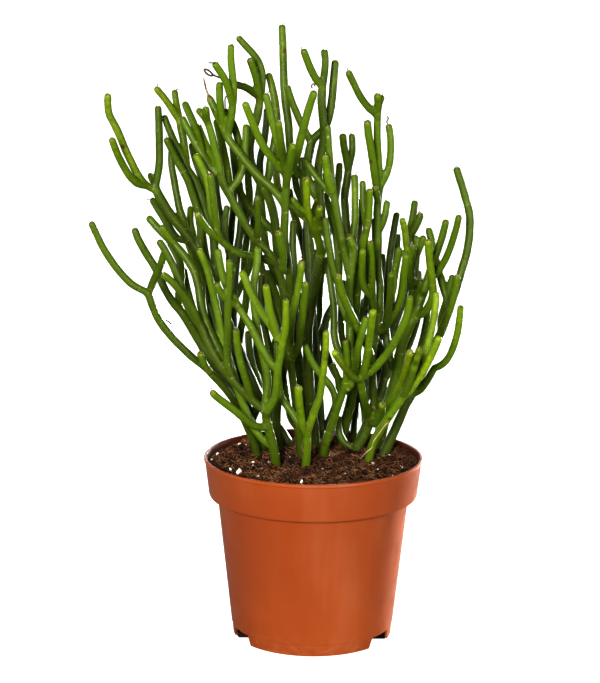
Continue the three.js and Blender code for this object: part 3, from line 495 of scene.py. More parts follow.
STEMS = {
    "front_centre": (8, [
        ("a", "", -40, [-5,117, -5.5,130, -5.2,145, -5,158, -3.5,165, -1,172.5, 2,181, 4.7,189, 6,199,
         7.3,209, 8.3,219, 9,230, 9,240.5]),
        ("b", "a", -38, [-5.3,156, -8,163, -9.5,171, -10.7,181, -11.6,190, -12,197]),
        ("c", "a", 14, [-5.5,158, -9,163, -13,170, -17.5,177, -22,183, -25.5,190, -27,199, -28,212,
         -28.5,222, -29,231]),
    ]),
    "front_left": (10, [
        ("a", "", -58, [-27,116, -28.5,132, -31,148, -34,160, -36,168, -37,175, -33.5,181, -29.8,189,
         -28.5,198, -28,210, -26,221, -24.5,231, -22.5,241, -22,253, -22,265]),
        ("b", "a", -46, [-37,163, -43,164.5, -49,167, -56,173, -62,178, -68,182.5, -74,187, -79,192]),
        ("c", "a", -26, [-28,210, -31,212.5, -36,219, -41,228, -46,238, -50,246, -56,255, -61,264,
         -66,272, -70,282, -72.5,293, -74,303.5]),
        ("d", "c", -44, [-59,261, -64,263, -69,266.5, -73,272, -75,277]),
        ("e", "a", -48, [-26,226, -28,234, -31.5,241.5, -37,250, -42,257, -46,265, -50,273, -53,280,
         -56,286.5]),
        ("f", "e", -66, [-28.5,235, -30.5,243, -32.5,250, -34.5,258, -36,267, -37.5,276]),
        ("g", "a", -24, [-37,175, -42,180.5, -48,186, -54,191.5, -59,197, -64,203, -68,207.5, -72,212,
         -76,219, -80,226, -84,235, -87,243, -92,250, -97,259, -101,269, -104,279, -108,290, -113,300,
         -119,310]),
        ("h", "g", -44, [-89,246, -92,254, -97,263, -103,271, -110,279, -116.5,284]),
        ("i", "g", -42, [-63,202, -66,211, -67,220, -67,228, -66.5,242, -66.5,256, -66,270, -65,284,
         -65.5,295]),
        ("j", "g", 4, [-64,203, -68,213, -72,222, -77,233, -81,242, -85,252, -87.5,263, -89,275, -93,288,
         -100,299, -107,307, -114,313.5, -121,321, -127,328]),
        ("k", "j", -8, [-107,307, -112,313.5, -117,321]),
        ("l", "g", -46, [-47,185.5, -50,193, -52,200, -54.5,208, -57,217, -58.5,225, -59.5,233, -60,241.5]),
        ("m", "a", -8, [-37,177, -37,186, -36,195, -36,205, -38,214, -40,223, -43,236, -45,250,
         -46.5,264, -46.5,278, -45,287, -44,296, -44,305]),
        ("n", "a", -12, [-33,147, -38,153, -43,159, -47.5,165.5, -51,173, -54,181, -57,189, -60,198,
         -64,212, -68,226, -71.5,238, -74,252, -76,262, -78,271, -80,280, -83,291, -86,298, -88.5,303.5]),
    ]),
    "outer_left": (22, [
        ("a", "", -34, [-40,118, -42,132, -44.5,146, -48.5,157, -53,168, -59,180, -65,190, -71,197.5,
         -77,204, -83,210.5, -90,216, -96,221, -102,227, -108,233, -113,239, -117.5,245, -121.5,252,
         -125,261, -128,269, -134,272.5, -140,276, -146,282, -151,288, -156,295, -161,303, -165,311,
         -168,318, -170.5,323.5]),
        ("b", "a", 6, [-127,268, -124.5,276, -121,284, -117.5,292, -115,301]),
        ("c", "a", -16, [-80,207.5, -83,212, -86,217.5, -88,223]),
    ]),
    "rear_left": (40, [
        ("a", "", 30, [-34,124, -37,138, -41,151, -46,162, -52,172, -58,183, -64,194, -70,203.5, -76,212,
         -81,219.5, -85,226, -89,233, -93,240, -97,247, -101,253.5, -106,259, -111,266, -115.5,274,
         -119,283, -123,291, -127,297, -131,304, -135,311.5, -137.5,319]),
        ("b", "a", 62, [-104,257, -104,268, -102,280, -102.5,291, -106,300, -111,309]),
        ("e", "a", 66, [-87,231, -89,240, -91.5,252, -95,264, -98,276, -100,288]),
        ("c", "a", 92, [-76,212, -77,224, -80,237, -84,249, -86,262, -86,276, -88,286, -92,295, -95,303,
         -98,312.5]),
        ("d", "a", 78, [-58,183, -60,198, -64,214, -70,230, -75,246, -79,262]),
    ]),
    "crown_left": (58, [
        ("a", "", 52, [-17,126, -18,140, -21.5,153, -29.5,166, -38,180, -45,194, -52,210, -60,230,
         -68,250, -75,268, -81,284, -88,299, -93,308, -99,316, -107,326, -115,338, -121,350, -120,358,
         -118.3,368, -118,380, -118.2,396, -119,412]),
        ("b", "a", 36, [-122,350, -129,353, -134.5,360, -139.5,370, -144.5,381, -148.5,391, -152.5,399.5,
         -155.5,405, -156.5,412, -156.5,421]),
        ("c", "b", 20, [-127,351.5, -134,353, -140.5,359, -146,368, -150.5,377.5, -154,387.5]),
        ("d", "a", 66, [-121,351, -123,355, -125,360.5]),
        ("e", "a", 74, [-95,310, -106,313, -112,322, -118,332, -124,342]),
        ("f", "a", 70, [-99,317, -100,326, -103,334, -105,344, -107,356, -109,368, -109,379]),
        ("k", "a", 74, [-91,304, -93,315, -95,325, -94.5,336]),
        ("g", "a", 46, [-88,300, -87,316, -89,332, -93,345, -97,357, -103,368, -108,378, -113,388]),
        ("h", "a", 62, [-76,270, -76,290, -77,311, -80,322, -84,335, -88,347, -92,357, -97,365, -100,373,
         -105,382, -110,393, -114.5,405]),
        ("i", "h", 76, [-97,366, -98.5,376, -100,387, -102.5,400, -105,414, -106.5,424]),
        ("j", "i", 66, [-103.5,402, -108,409.5, -113.5,417.5, -120.5,426]),
        ("l", "h", 86, [-79,320, -81,335, -84,348, -87,360, -91,372, -94,384]),
    ]),
    "upper_left": (42, [
        ("a", "", -4, [-23,126, -25.5,142, -28,158, -28.8,172, -27.5,186, -24.5,202, -22.5,220, -22,240,
         -22,258, -24,274, -28.5,290, -35,301, -43.5,309, -50,318, -57,330, -64,343, -70.5,355, -73,368,
         -76,380, -79,392, -82,401, -89,410]),
        ("b", "a", -14, [-81,399, -82.5,405, -83,411]),
        ("c", "a", 12, [-72,361, -78,364, -84,373, -90,383, -96,394, -101,404]),
        ("d", "c", 24, [-85,375, -87,383, -89,391, -92,399, -95.5,407, -99,415]),
        ("e", "a", 22, [-72,362, -76,370, -81,379, -86,390, -89,398]),
        ("g", "a", -34, [-29,291, -38,296, -46,298, -56,300, -63,303.5, -69,308, -73.5,314, -75.5,326,
         -77,338, -78.5,350, -80,361]),
        ("h", "g", -12, [-73,312, -76,322, -79,335, -80.5,349, -83,360, -87,369, -91,376]),
        ("i", "g", -40, [-71,310, -78,315, -84,322, -90,331]),
        ("j", "a", 12, [-65,346, -60,355, -56,363, -53.7,372, -53,385, -52.5,398.5]),
        ("k", "j", 26, [-55,364, -56.5,375, -58.5,387, -62,398, -66,405, -69,410]),
        ("l", "a", -8, [-43,309, -43.3,322, -43.6,334, -44,344]),
        ("m", "a", 44, [-65,345, -66,357, -67.5,368, -70,380, -72.5,391, -75,402]),
        ("n", "a", 62, [-24,203, -28,211, -32.5,220, -36,233, -38.5,246, -40.5,260, -41,272, -40.5,284]),
        ("o", "a", 58, [-22,242, -25,252, -28,264, -32,276, -36.5,287]),
    ]),
    "crown_centre_left": (28, [
        ("a", "", -20, [-8,122, -9,138, -10.5,155, -12.5,170, -14,185, -16,200, -18,216, -18.5,232,
         -18.5,250, -19,268, -19.5,284, -21,298, -23.5,313, -23,330, -22.5,346, -22,362, -24,369,
         -27,379, -30.5,392, -34,405, -38,422]),
        ("b", "a", -46, [-22,361, -28,368, -33,374, -38,380, -42,387, -46,396, -50,406, -53.5,415]),
        ("c", "a", -34, [-22,361, -17,369, -13.5,379, -11,390, -8,402, -5,413, -1.5,424]),
        ("d", "a", -48, [-22.5,357, -24,371, -26,383, -27.5,393, -28.5,401]),
        ("e", "a", -52, [-22.5,354, -20,366, -17.5,383.5]),
        ("f", "a", 6, [-23,336, -28,345, -34,352, -41,358, -47,364, -53,371, -60,380, -66,388, -70,396,
         -74,405, -78,414, -82,423, -84.5,433]),
        ("g", "f", -12, [-66,389, -64.5,400, -63,411, -62,424, -63,436, -64,447, -64,458]),
        ("h", "g", -26, [-63,412, -65,422, -68,431, -72,438, -76.5,444.5]),
        ("i", "f", -8, [-70,396, -71,405, -72.5,418, -72.5,430]),
        ("j", "a", -18, [-18.3,222, -18.8,234, -18.3,245, -16.8,254, -14.5,265, -12.3,276, -10.8,286,
         -10,295.5]),
        ("k", "a", -44, [-18,216.5, -14.5,223.5, -11.5,231, -10.7,241, -9.5,250, -8.5,260, -7.5,270,
         -7,278]),
        ("l", "a", -42, [-20,288, -25,287, -24,295, -24.5,302, -26.5,310, -28,317.5]),
    ]),
    "rear_centre_left": (64, [
        ("a", "", 40, [-6,130, -6.5,150, -8,172, -9.5,195, -12,218, -16,240, -21,262, -27,285, -29,308,
         -31,328, -36,345, -43,357, -48.5,369, -50,381, -48,393, -44.5,404, -43,413, -41,425, -40.5,436,
         -43,445, -47,451, -53,457.5, -59,464]),
        ("b", "a", 28, [-42.5,415, -43,421, -44.5,431, -47,440, -50,448]),
        ("c", "a", 22, [-42,418, -47.5,423, -53.5,427, -59.5,428.5, -66,431]),
        ("d", "a", 60, [-37,349, -35.5,360, -34,372, -31,386, -29.5,402, -31,417, -33.5,428, -36,437]),
        ("e", "a", 82, [-30,315, -40,326, -50,336, -58,350, -61,366, -63,383]),
        ("f", "a", 84, [-12,216, -14.5,236, -15,262, -15,283, -16.5,298, -17,312, -16.5,326]),
        ("g", "a", 98, [-24,272, -30,284, -35,297, -38,310, -39.5,325, -41,340, -42,352]),
    ]),
    "crown_centre": (50, [
        ("a", "", 26, [2,130, 1,150, -1,172, -3,195, -4.5,218, -5,240, -4,252, -2,264, 0,276, 2,288,
         4.5,300, 6,311, 5,322, 4,336, 3,350, 2,366, 4,378, 5.7,387, 6,396, 5,406, 4,419, 5,431, 6.2,440,
         6.5,448, 5.5,455]),
        ("b", "a", 12, [5,427, 0.5,432, -3.5,439, -7,447, -10,455]),
        ("c", "a", 48, [3,340, -2,350, -6,358, -7,366, -5.5,375, -4,383, -1,389.5, 4,393.5, 8.5,401,
         10.7,411, 12,421, 13,434, 14,447]),
        ("d", "c", 32, [-4,383, -7,392, -11,399.5, -15.5,409.5, -19.5,419.5, -22,428]),
        ("e", "c", 62, [-6,356, -13,362, -18,372, -20,388, -21,402, -23,415, -24.2,428, -24.7,440,
         -25.2,456, -26,473]),
        ("f", "a", -4, [5.8,314, 3.8,322, 2.6,329, 3,336.5]),
        ("g", "a", -18, [4.5,302, 3,311, 0,318, -3.5,326.5, -6,335, -6.7,346, -7,358.5]),
        ("h", "g", -2, [-4,328, -8,332, -13,337, -18,343]),
    ]),
    "centre_right": (33, [
        ("a", "", -4, [7,122, 7.5,135, 8.5,147, 11.5,158, 14.7,168, 17.5,178, 20.5,187, 23,195, 24.7,203,
         25.2,213, 25.3,223, 24,233.5]),
        ("b", "a", 12, [17.3,176, 17,184, 16,191, 13,197, 9,202, 5,207, 0,214, -4,222, -7,230]),
        ("c", "a", -8, [23,193, 27,196.5, 30,202, 31,209, 32,217, 33.5,226, 35.5,235, 37.5,243.5, 40,252]),
        ("d", "a", -6, [24.8,206, 27,222, 27.5,240, 26.5,258, 26.3,275, 28,288, 29.7,299, 28.7,308.5,
         25,315.5]),
        ("e", "d", -16, [27,281, 24.5,292, 22.5,302, 20.5,310, 19,319, 17,329, 15,340, 13.5,350, 12,360,
         10.7,371, 9.5,386, 8.5,398.5]),
        ("f", "e", -24, [13.7,347, 10.5,354, 8.5,364, 7,376]),
        ("g", "e", 0, [14,344, 9,350, 4,356, -1,362, -5,368, -9.5,374]),
        ("h", "d", -4, [26.5,265, 21,272, 16,283, 12.5,295, 11,305, 9,316, 7.5,328]),
    ]),
    "front_right": (34, [
        ("a", "", 20, [29,124, 31,137, 33,147, 37,154, 40.5,161, 43.5,168.5, 45.5,176, 46.5,186,
         45.7,197, 45,208, 45,220, 46,232, 48,242, 50,252, 50,264, 50,276, 48.5,288, 48,300, 48,312,
         47.5,322, 47,333, 47.5,343, 48.7,352, 51.5,358, 54.5,365, 56,373, 56.5,382, 56,391, 54.5,399.5]),
        ("b", "a", 6, [48.5,352, 48,364, 47,376, 46.3,387, 46,397, 46.2,407, 47,414, 49.5,421]),
        ("c", "a", -4, [47.7,346, 45,360, 43.2,372, 41.3,383, 39.5,393, 38.5,402]),
        ("d", "b", -12, [46,407, 42.5,409.5, 38.5,413, 33,420.5, 28,430, 23.5,439]),
        ("e", "b", -4, [46.3,408, 46.2,415, 46,422]),
        ("f", "a", 4, [47.4,341, 46,347, 45.2,352.5]),
        ("g", "a", 30, [48,318, 50.5,323, 52.8,330, 54.5,341.5]),
        ("h", "a", -60, [45.5,175, 41,181, 38.5,189, 36.8,197, 36.3,203, 38.3,209, 40,217, 41.3,226,
         42.7,236, 43.8,246, 45,257]),
        ("i", "h", -70, [36.5,201.5, 31.5,203.5, 26.5,208.5, 22.5,213.5, 19,218.5, 15.5,224]),
        ("j", "h", -30, [36.5,203, 41,207.5, 47,212.5, 52,218, 57,224.5, 61,231, 65,239, 68.5,247,
         71,254, 72.3,261, 73,268.5]),
        ("k", "a", -22, [47.8,239, 52,241.5, 56,246.5, 60,253, 63.5,260, 66,268, 67.3,277, 68,286,
         69,294, 69.5,300.5]),
        ("l", "a", -40, [45.3,212, 43.5,222, 39.5,232, 35,240.5, 30.5,249.5, 26,258, 22.5,266, 19.5,275,
         17.5,284.5]),
        ("m", "a", -18, [44.5,167, 49,167, 51.5,171.5, 53,177.5, 53,183.5]),
        ("n", "a", -38, [45,172, 52,177, 57,182, 61,188, 65,195, 68.5,203, 71,211, 73,218.5, 74,225]),
        ("o", "a", 40, [32,148, 27,150, 23,154, 20.5,159, 19.5,166, 20,173]),
        ("p", "k", -34, [53,243, 55.5,251, 57,260, 57.7,270, 58.2,278, 58.5,285.5]),
        ("q", "a", -8, [50,254, 47,258, 44.7,265, 44,274, 43.7,285, 43.2,297, 42,310.5]),
        ("r", "q", -20, [44,268, 39,273, 36.2,281, 36,291, 36.5,304]),
    ]),
    "crown_right": (58, [
        ("a", "", 0, [20,130, 22,150, 24,165, 28,182, 30.5,200, 30.5,222, 30.5,242, 31.5,260, 33,280,
         34.5,298, 36.5,309, 38.5,317, 40.3,326, 41,336, 41,350.5]),
        ("b", "a", 12, [38.5,318, 37.5,330, 36.3,341, 35.5,356.5]),
        ("c", "a", 34, [33.5,286, 30,302, 29,314, 30.3,328, 30.2,342, 29.5,361.5]),
        ("d", "a", 44, [31,255, 28,275, 26,295, 25,315, 23,332, 22.2,346, 24,358, 25,368, 27.5,380, 27,392]),
        ("e", "d", 32, [24.7,364, 23,374, 21,384, 20,392]),
        ("f", "a", 72, [29,240, 25,252, 20,264, 18.5,278, 18.5,292, 17,306, 15,320, 11,334, 7,347]),
        ("g", "a", 66, [34,291, 32.8,304, 33,318, 34,330, 34.5,342]),
        ("h", "a", 56, [27.5,212, 20,223, 15.5,236, 15,250, 14.5,262, 12.5,276, 10.5,288, 9.5,298]),
    ]),
    "small_right": (12, [
        ("a", "", -36, [41,118, 42.5,132, 44,143, 46.5,153, 51,161.5, 55.5,168.5, 60,176, 64.5,183,
         68.5,189, 73,193, 78,200, 83,207.5, 87,215.5, 90.5,223, 93.5,230, 96,237]),
        ("b", "a", -40, [69,190, 72,196.5, 74.5,203, 76.5,210.5, 79,219, 81,228]),
        ("c", "a", -14, [70,190.5, 74,197.5, 78,206, 82,214.5, 85.5,223.5, 88,233, 90,243, 91.7,253,
         92.7,262, 93,271.5]),
    ]),
    "outer_right": (22, [
        ("a", "", 34, [51,120, 53,134, 56,146, 60,155.5, 64,165, 68,175, 72,184, 76,191.5, 80,200,
         84,209.5, 88.5,220, 93,231.5, 97.5,241, 101,251, 104.5,262, 108,274, 111.5,287, 114.5,298,
         116.5,308, 117.5,319, 117.3,330, 116,337, 113.5,345, 111,353, 108.3,361, 106,367.5]),
        ("b", "a", -8, [76,190, 81,193.5, 86,200, 90,207, 93,212.5, 98,214.5, 103,220, 107,229,
         109.5,238, 111,248, 112,261]),
        ("c", "a", 8, [95,236, 99,247, 102.5,256, 105.5,265, 107.5,274, 109,285]),
        ("d", "a", 44, [97,240, 97,250, 99,259, 101.5,267, 103.5,275, 105,285]),
        ("e", "d", 56, [101,266, 98.5,275, 96,284, 93.5,292, 91.3,300, 89.3,308, 87.8,315, 86,321]),
    ]),
    "middle_right": (46, [
        ("a", "", 24, [46,128, 49,146, 52,160, 55.5,175, 59.5,190, 63,204, 65.5,218, 67.5,231,
         71.5,240.5, 75.5,250, 79.5,260, 83,270, 85.5,279, 88,288.5, 91,297, 94,306, 97,316, 99.5,327.5]),
        ("b", "a", -6, [77,253, 84,256, 89,264, 90.5,273, 89.5,282, 88,292, 86.8,302, 85.5,312]),
        ("c", "a", 4, [86.5,281, 91,284, 95,289.5, 99.5,297.5, 102.8,306, 105.5,315, 107.7,323.5, 109,331]),
        ("d", "a", 30, [78,256, 80,266, 80.7,274, 81,281.5]),
        ("e", "a", 38, [67.5,231, 71,243, 73,255, 74.5,267, 75.5,279, 76.7,291, 77.3,303, 76,315]),
        ("f", "e", 20, [75,273, 73.5,284, 73.7,296, 75,307.5]),
        ("g", "e", 60, [75,272, 72.5,286, 71,300, 71.3,312, 72.8,323, 74.5,333, 75.5,342]),
        ("h", "g", 48, [71.3,311, 73.5,317, 76.5,322.5, 78.7,327.5, 80,332.5]),
        ("i", "e", 36, [77,298, 79.3,304.5, 81,309.5, 82.7,315]),
        ("j", "f", 4, [74,292, 72,299, 70,306, 69,313, 68,320.5, 66,328]),
        ("k", "a", 70, [63,204, 58,222, 55,240, 54,258, 55,275, 56.3,290, 57.5,302, 59,314, 60.5,324,
         62,332.5]),
        ("l", "k", 46, [54,253, 57.5,264, 60,275, 61.3,287, 63,297, 64,306]),
        ("m", "k", 84, [54,262, 53.5,276, 52,289, 51.5,300.5]),
    ]),
    "back_left": (50, [
        ("a", "", 120, [-38,128, -42,146, -48,166, -54,186, -59,208, -62,230, -63,252, -62,274, -60,296,
         -57,318, -56,338, -58,356]),
        ("b", "a", 112, [-56,188, -63,202, -70,218, -76,236, -80,252, -83,270, -88,286]),
        ("c", "a", 134, [-60,214, -57.5,230, -56,244, -53,260, -52,276, -54,290, -52.5,308, -50,322]),
        ("d", "a", 100, [-62,236, -68,252, -74,268, -80,286, -84,304, -86,320]),
        ("e", "a", 142, [-62,262, -56,276, -50,290, -47,308, -47,326, -44,344]),
        ("f", "a", 104, [-61,284, -65,298, -68,312, -68.5,325, -67,337]),
        ("g", "a", 134, [-57,312, -52.5,326, -50,342, -51,358, -50,370]),
        ("h", "a", 110, [-52,180, -58,190, -67,200, -74,212]),
        ("i", "a", 84, [-48,166, -44,179, -41.5,192, -43.5,203, -47.5,214, -50,226, -51,240]),
    ]),
    "back_centre": (60, [
        ("a", "", 116, [5,128, 5,148, 4.5,165, 3.5,188, 2,212, 0.5,232, -1.5,250, -3,266, -3,284, -4,306,
         -6,328, -9,350, -11,374]),
        ("b", "a", 136, [3.5,188, 0,200, -4,216, -7,234, -9,252, -12,270]),
        ("c", "a", 106, [3,200, 6,212, 8,226, 8,240, 9.5,252, 15,262, 18,274, 18,287]),
        ("d", "a", 146, [-2.5,264, -4,278, -6.5,294, -9,308, -13,322, -17,334, -20,350]),
        ("e", "a", 128, [-3,290, 3,302, 9,314, 12.5,330, 15.5,346, 17.5,360, 18,370]),
        ("f", "a", 140, [-5,318, -1,332, 3,345, 6,362]),
        ("g", "a", 110, [-6,328, -14,334, -22,341, -28,350, -30,364, -31,378]),
        ("h", "a", 96, [4.8,158, 9,163, 12.5,171, 16,180, 19,191, 18.5,203, 14,215]),
    ]),
    "back_right": (54, [
        ("a", "", 118, [31,128, 34,146, 40,163, 46.5,178, 52,194, 55,211, 57,230, 58,252, 60,278, 62,298,
         63,316]),
        ("b", "a", 130, [40,163, 39.5,178, 36.5,192, 34.5,206, 34,226, 36,246, 38,266]),
        ("c", "a", 98, [53.5,202, 61,215, 68,229, 73,243, 77,258, 79.5,273, 79,288]),
        ("d", "a", 144, [52,220, 47,236, 44,254, 43,274, 44,294]),
        ("e", "a", 108, [57,232, 62.5,248, 67,262, 70,277, 73,292, 74,308]),
        ("f", "a", 138, [58,262, 53,276, 49,292, 46,310, 45,328]),
        ("g", "a", 120, [48,184, 57,193, 67,204, 77,217, 82.5,231, 85.5,246, 87,258]),
    ]),
}
print(len(STEMS), "stems")

# %% [markdown]
# ## From the ways to points in space
# Each way becomes a smooth curve, with a sample every four millimetres. A sample keeps its place in
# the front view and its depth, and `in_space` turns the three into a point: what stands further back
# lies on the same line of sight, so it is spread by the same share.

# %% Samples along the twigs
EYE_DISTANCE_MM = 1520
EYE_HEIGHT_MM = 550
SAMPLE_STEP_MM = 4
LOOKUPS = 200


def in_space(across, height, behind):
    reach = 1 + behind / EYE_DISTANCE_MM
    return across * reach, behind, EYE_HEIGHT_MM + (height - EYE_HEIGHT_MM) * reach


def point_on_way(points, share):
    """A point of the smooth curve through the points, at a share of its whole run."""
    run = (len(points) - 1) * share
    start = min(int(run), len(points) - 2)
    t = run - start
    first, second = points[start], points[start + 1]
    before = points[start - 1] if start else 2 * points[0] - points[1]
    after = points[start + 2] if start + 2 < len(points) else 2 * points[-1] - points[-2]
    leaving, arriving = (second - before) / 2, (after - first) / 2
    bend = -3 * first + 3 * second - 2 * leaving - arriving
    return first + t * (leaving + t * (bend + t * (2 * first - 2 * second + leaving + arriving)))


def even_samples(points):
    """Samples at equal steps along the curve."""
    shares = np.arange(LOOKUPS + 1) / LOOKUPS
    trail = np.array([point_on_way(points, share) for share in shares])
    lengths = np.concatenate([[0], np.cumsum(np.linalg.norm(np.diff(trail, axis=0), axis=1))])
    steps = max(3, int(lengths[-1] / SAMPLE_STEP_MM + 0.5))
    wanted = np.interp(np.arange(steps + 1) / steps * lengths[-1], lengths, shares)
    return [point_on_way(points, share) for share in wanted]


# %% [markdown]
# A twig shares its first sample with the twig that it grows on, so the two stay joined when they are
# bent. It is thicker the more tips it carries, and a seeded draw makes each twig a little thicker or
# thinner than the others.

# %% Twigs and their thickness
TIP_RADIUS_MM = 2.7
THICKENING = 0.19
TIP_VARIATION = 0.07
DRAW_FACTOR = 16807
DRAW_RANGE = 2147483647
FIRST_DRAW = 7


def draws(seed):
    while True:
        seed = seed * DRAW_FACTOR % DRAW_RANGE
        yield seed / DRAW_RANGE


class Sample:
    def __init__(self, across, height, behind, stem, twig, step):
        self.across, self.height, self.behind = across, height, behind
        self.stem, self.twig, self.step = stem, twig, step
        self.radius = 0.0


class Twig:
    def __init__(self, name, parent, root_index, samples, thickness):
        self.name, self.parent, self.root_index = name, parent, root_index
        self.samples, self.thickness = samples, thickness
        self.tips = 1


def grown_twig(stem, name, parent, stands, tip_behind, way, thickness):
    """A twig with its samples, from its seen way and the depths of its two ends."""
    points = [np.array(pair, float) for pair in zip(way[::2], way[1::2])]
    root, root_index = Sample(way[0], way[1], stands, stem, name, 0), 0
    if parent:
        distances = [math.hypot(s.across - way[0], s.height - way[1]) for s in parent.samples]
        root_index = distances.index(min(distances))
        root = parent.samples[root_index]
        points[0] = np.array((root.across, root.height))
    way_samples = even_samples(points)
    steps = len(way_samples) - 1
    samples = [Sample(p[0], p[1], root.behind + (tip_behind - root.behind) * i / steps, stem, name, i)
               for i, p in enumerate(way_samples)]
    samples[0] = root
    return Twig(name, parent, root_index, samples, thickness)


def sampled_stem(stem, stands, rows, draw):
    twigs = {}
    for name, parent_name, tip_behind, way in rows:
        thickness = 1 + TIP_VARIATION * (2 * next(draw) - 1)
        twigs[name] = grown_twig(stem, name, twigs.get(parent_name), stands, tip_behind, way, thickness)
    twigs = list(twigs.values())
    for twig in reversed(twigs):
        if twig.parent:
            twig.parent.tips += twig.tips
    for twig in twigs:
        children = [other for other in twigs if other.parent is twig]
        twig.carried = [1 + sum(child.tips for child in children if child.root_index > i)
                        for i in range(len(twig.samples))]
        twig.radii = [TIP_RADIUS_MM * twig.thickness * carried ** THICKENING for carried in twig.carried]
        for sample, radius in zip(twig.samples, twig.radii):
            sample.radius = max(sample.radius, radius)
    return twigs


draw = draws(FIRST_DRAW)
stems = {name: sampled_stem(name, stands, rows, draw) for name, (stands, rows) in STEMS.items()}
all_twigs = [twig for twigs in stems.values() for twig in twigs]
print(len(all_twigs), "twigs")

# %% [markdown]
# ## Twigs that pass each other
# Real stems grow round one another. Pairs of samples that come too close are pushed apart along the
# line of sight, the one in front forwards and the one behind backwards, and each twig is smoothed
# after every pass. The CAD did exactly this, so both end in the same place.

# %% Bend the twigs clear of each other
CLEAR_MM = 1.9
SEARCH_WIDER = 1.1
BENDING_PASSES = 160
LAST_PASSES = 12
BENDING_EASE = 0.35
PUSH = 0.3
ROOT_SAMPLES = 6
GROUND_LEVEL_MM = 142


def close_pairs(samples):
    across = np.array([s.across for s in samples])
    height = np.array([s.height for s in samples])
    radius = np.array([s.radius for s in samples])
    pairs = []
    for i, one in enumerate(samples[:-1]):
        reach = radius[i] + radius[i + 1:] + CLEAR_MM
        near = ((np.abs(across[i + 1:] - across[i]) <= SEARCH_WIDER * reach)
                & (np.abs(height[i + 1:] - height[i]) <= SEARCH_WIDER * reach))
        for j in np.nonzero(near)[0]:
            other = samples[i + 1 + j]
            if one.stem == other.stem and (one.twig == other.twig or one.step < ROOT_SAMPLES
                                           or other.step < ROOT_SAMPLES):
                continue
            in_order = (one, other) if one.behind <= other.behind else (other, one)
            pairs.append((*in_order, float(reach[j]) ** 2))
    return pairs


def bend_clear(twigs):
    samples = list(dict.fromkeys(sample for twig in twigs for sample in twig.samples))
    pairs = close_pairs(samples)
    print(len(samples), "samples,", len(pairs), "pairs that pass")
    for bending_pass in range(BENDING_PASSES):
        for front, back, reach_squared in pairs:
            near, far = 1 + front.behind / EYE_DISTANCE_MM, 1 + back.behind / EYE_DISTANCE_MM
            apart = ((front.across * near - back.across * far) ** 2
                     + ((front.height - EYE_HEIGHT_MM) * near - (back.height - EYE_HEIGHT_MM) * far) ** 2)
            if apart >= reach_squared:
                continue
            lack = math.sqrt(reach_squared - apart) - (back.behind - front.behind)
            if lack <= 0:
                continue
            if front.height > GROUND_LEVEL_MM:
                front.behind -= PUSH * lack
            if back.height > GROUND_LEVEL_MM:
                back.behind += PUSH * lack
        if bending_pass > BENDING_PASSES - LAST_PASSES:
            continue
        for twig in twigs:
            for before, sample, after in zip(twig.samples, twig.samples[1:], twig.samples[2:]):
                if sample.height > GROUND_LEVEL_MM:
                    middle = (before.behind + after.behind) / 2
                    sample.behind += BENDING_EASE * (middle - sample.behind)


bend_clear(all_twigs)

# %% [markdown]
# Deep inside the plant some more shoots stand in the shade of all the others, and only their dark
# green shows through the gaps. They grow on the three stems at the back.

# %% Shoots in the shade: (stem, name, grows on, depth of the tip, [across, height, ...])
SHADE_SHOOTS = [
    ("back_left", "p", "a", 140, [-62,274, -65,290, -65,305, -63.5,322, -62,338, -62,352]),
    ("back_left", "q", "i", 120, [-41.5,192, -41,203, -42.5,214, -44.5,226, -44,240, -43,254]),
    ("back_left", "r", "e", 140, [-47,326, -44,340, -42,356, -42,372, -39,386, -37.5,400, -37,411]),
    ("back_left", "s", "f", 122, [-68,312, -71.5,326, -74,340, -75.5,354, -76,366]),
    ("back_centre", "p", "b", 144, [-7,234, -15,243, -24,252, -31,262, -36,276, -40.5,290, -43,305]),
    ("back_centre", "q", "a", 130, [5,150, -3,156, -10,162, -17,170, -20,182, -22,196, -24,210]),
    ("back_centre", "r", "a", 144, [-3,284, -6,298, -7,312, -6.5,328, -10,340, -14,350, -16,362]),
    ("back_centre", "s", "b", 146, [-5,230, 0,240, 3.5,252, 4,266, 5,280, 7,294]),
    ("back_left", "t", "i", 126, [-38,180, -34,192, -33,204, -33,217, -30,232, -28,244, -30,256, -30,266]),
    ("back_right", "v", "b", 142, [38,180, 41.5,188, 41.5,200, 42,214, 44,228]),
    ("back_right", "p", "b", 144, [35,200, 29,212, 24,226, 21,240, 20.5,254, 21,268, 22,280]),
    ("back_right", "q", "b", 138, [38,186, 30,190, 22,199, 15,210, 10,222, 6,234, 4.5,246]),
    ("back_right", "r", "c", 128, [61,215, 69,223, 74,234, 78,247, 80,260, 80.5,274]),
    ("back_right", "s", "a", 110, [33,140, 31,152, 31.5,166, 33,182, 33,198, 31,214]),
    ("back_right", "t", "b", 146, [36,246, 39,258, 40.5,272, 39.5,286, 38.5,300, 38,314]),
    ("back_right", "u", "a", 140, [52,194, 51,206, 49.5,218, 50,232, 52.5,248, 53.5,262, 53,278]),
]

for stem, name, parent_name, tip_behind, way in SHADE_SHOOTS:
    parent = next(twig for twig in stems[stem] if twig.name == parent_name)
    shoot = grown_twig(stem, name, parent, 0, tip_behind, way, 1)
    shoot.carried = [1] * len(shoot.samples)
    shoot.radii = [TIP_RADIUS_MM] * len(shoot.samples)
    stems[stem].append(shoot)
print(len(SHADE_SHOOTS), "shoots in the shade")

# %% [markdown]
# ## How thick a twig is
# On the real plant a new shoot starts narrow, in a ring, and fills out below its tip. A stem's foot is
# swollen, and faint rings show where each year's growth stopped. One tip has dried to a thin end. A
# `Course` turns a twig into points and radii with all of this. It also strews the places of the rings
# and of the dots where leaves fell off, by seeded draws.

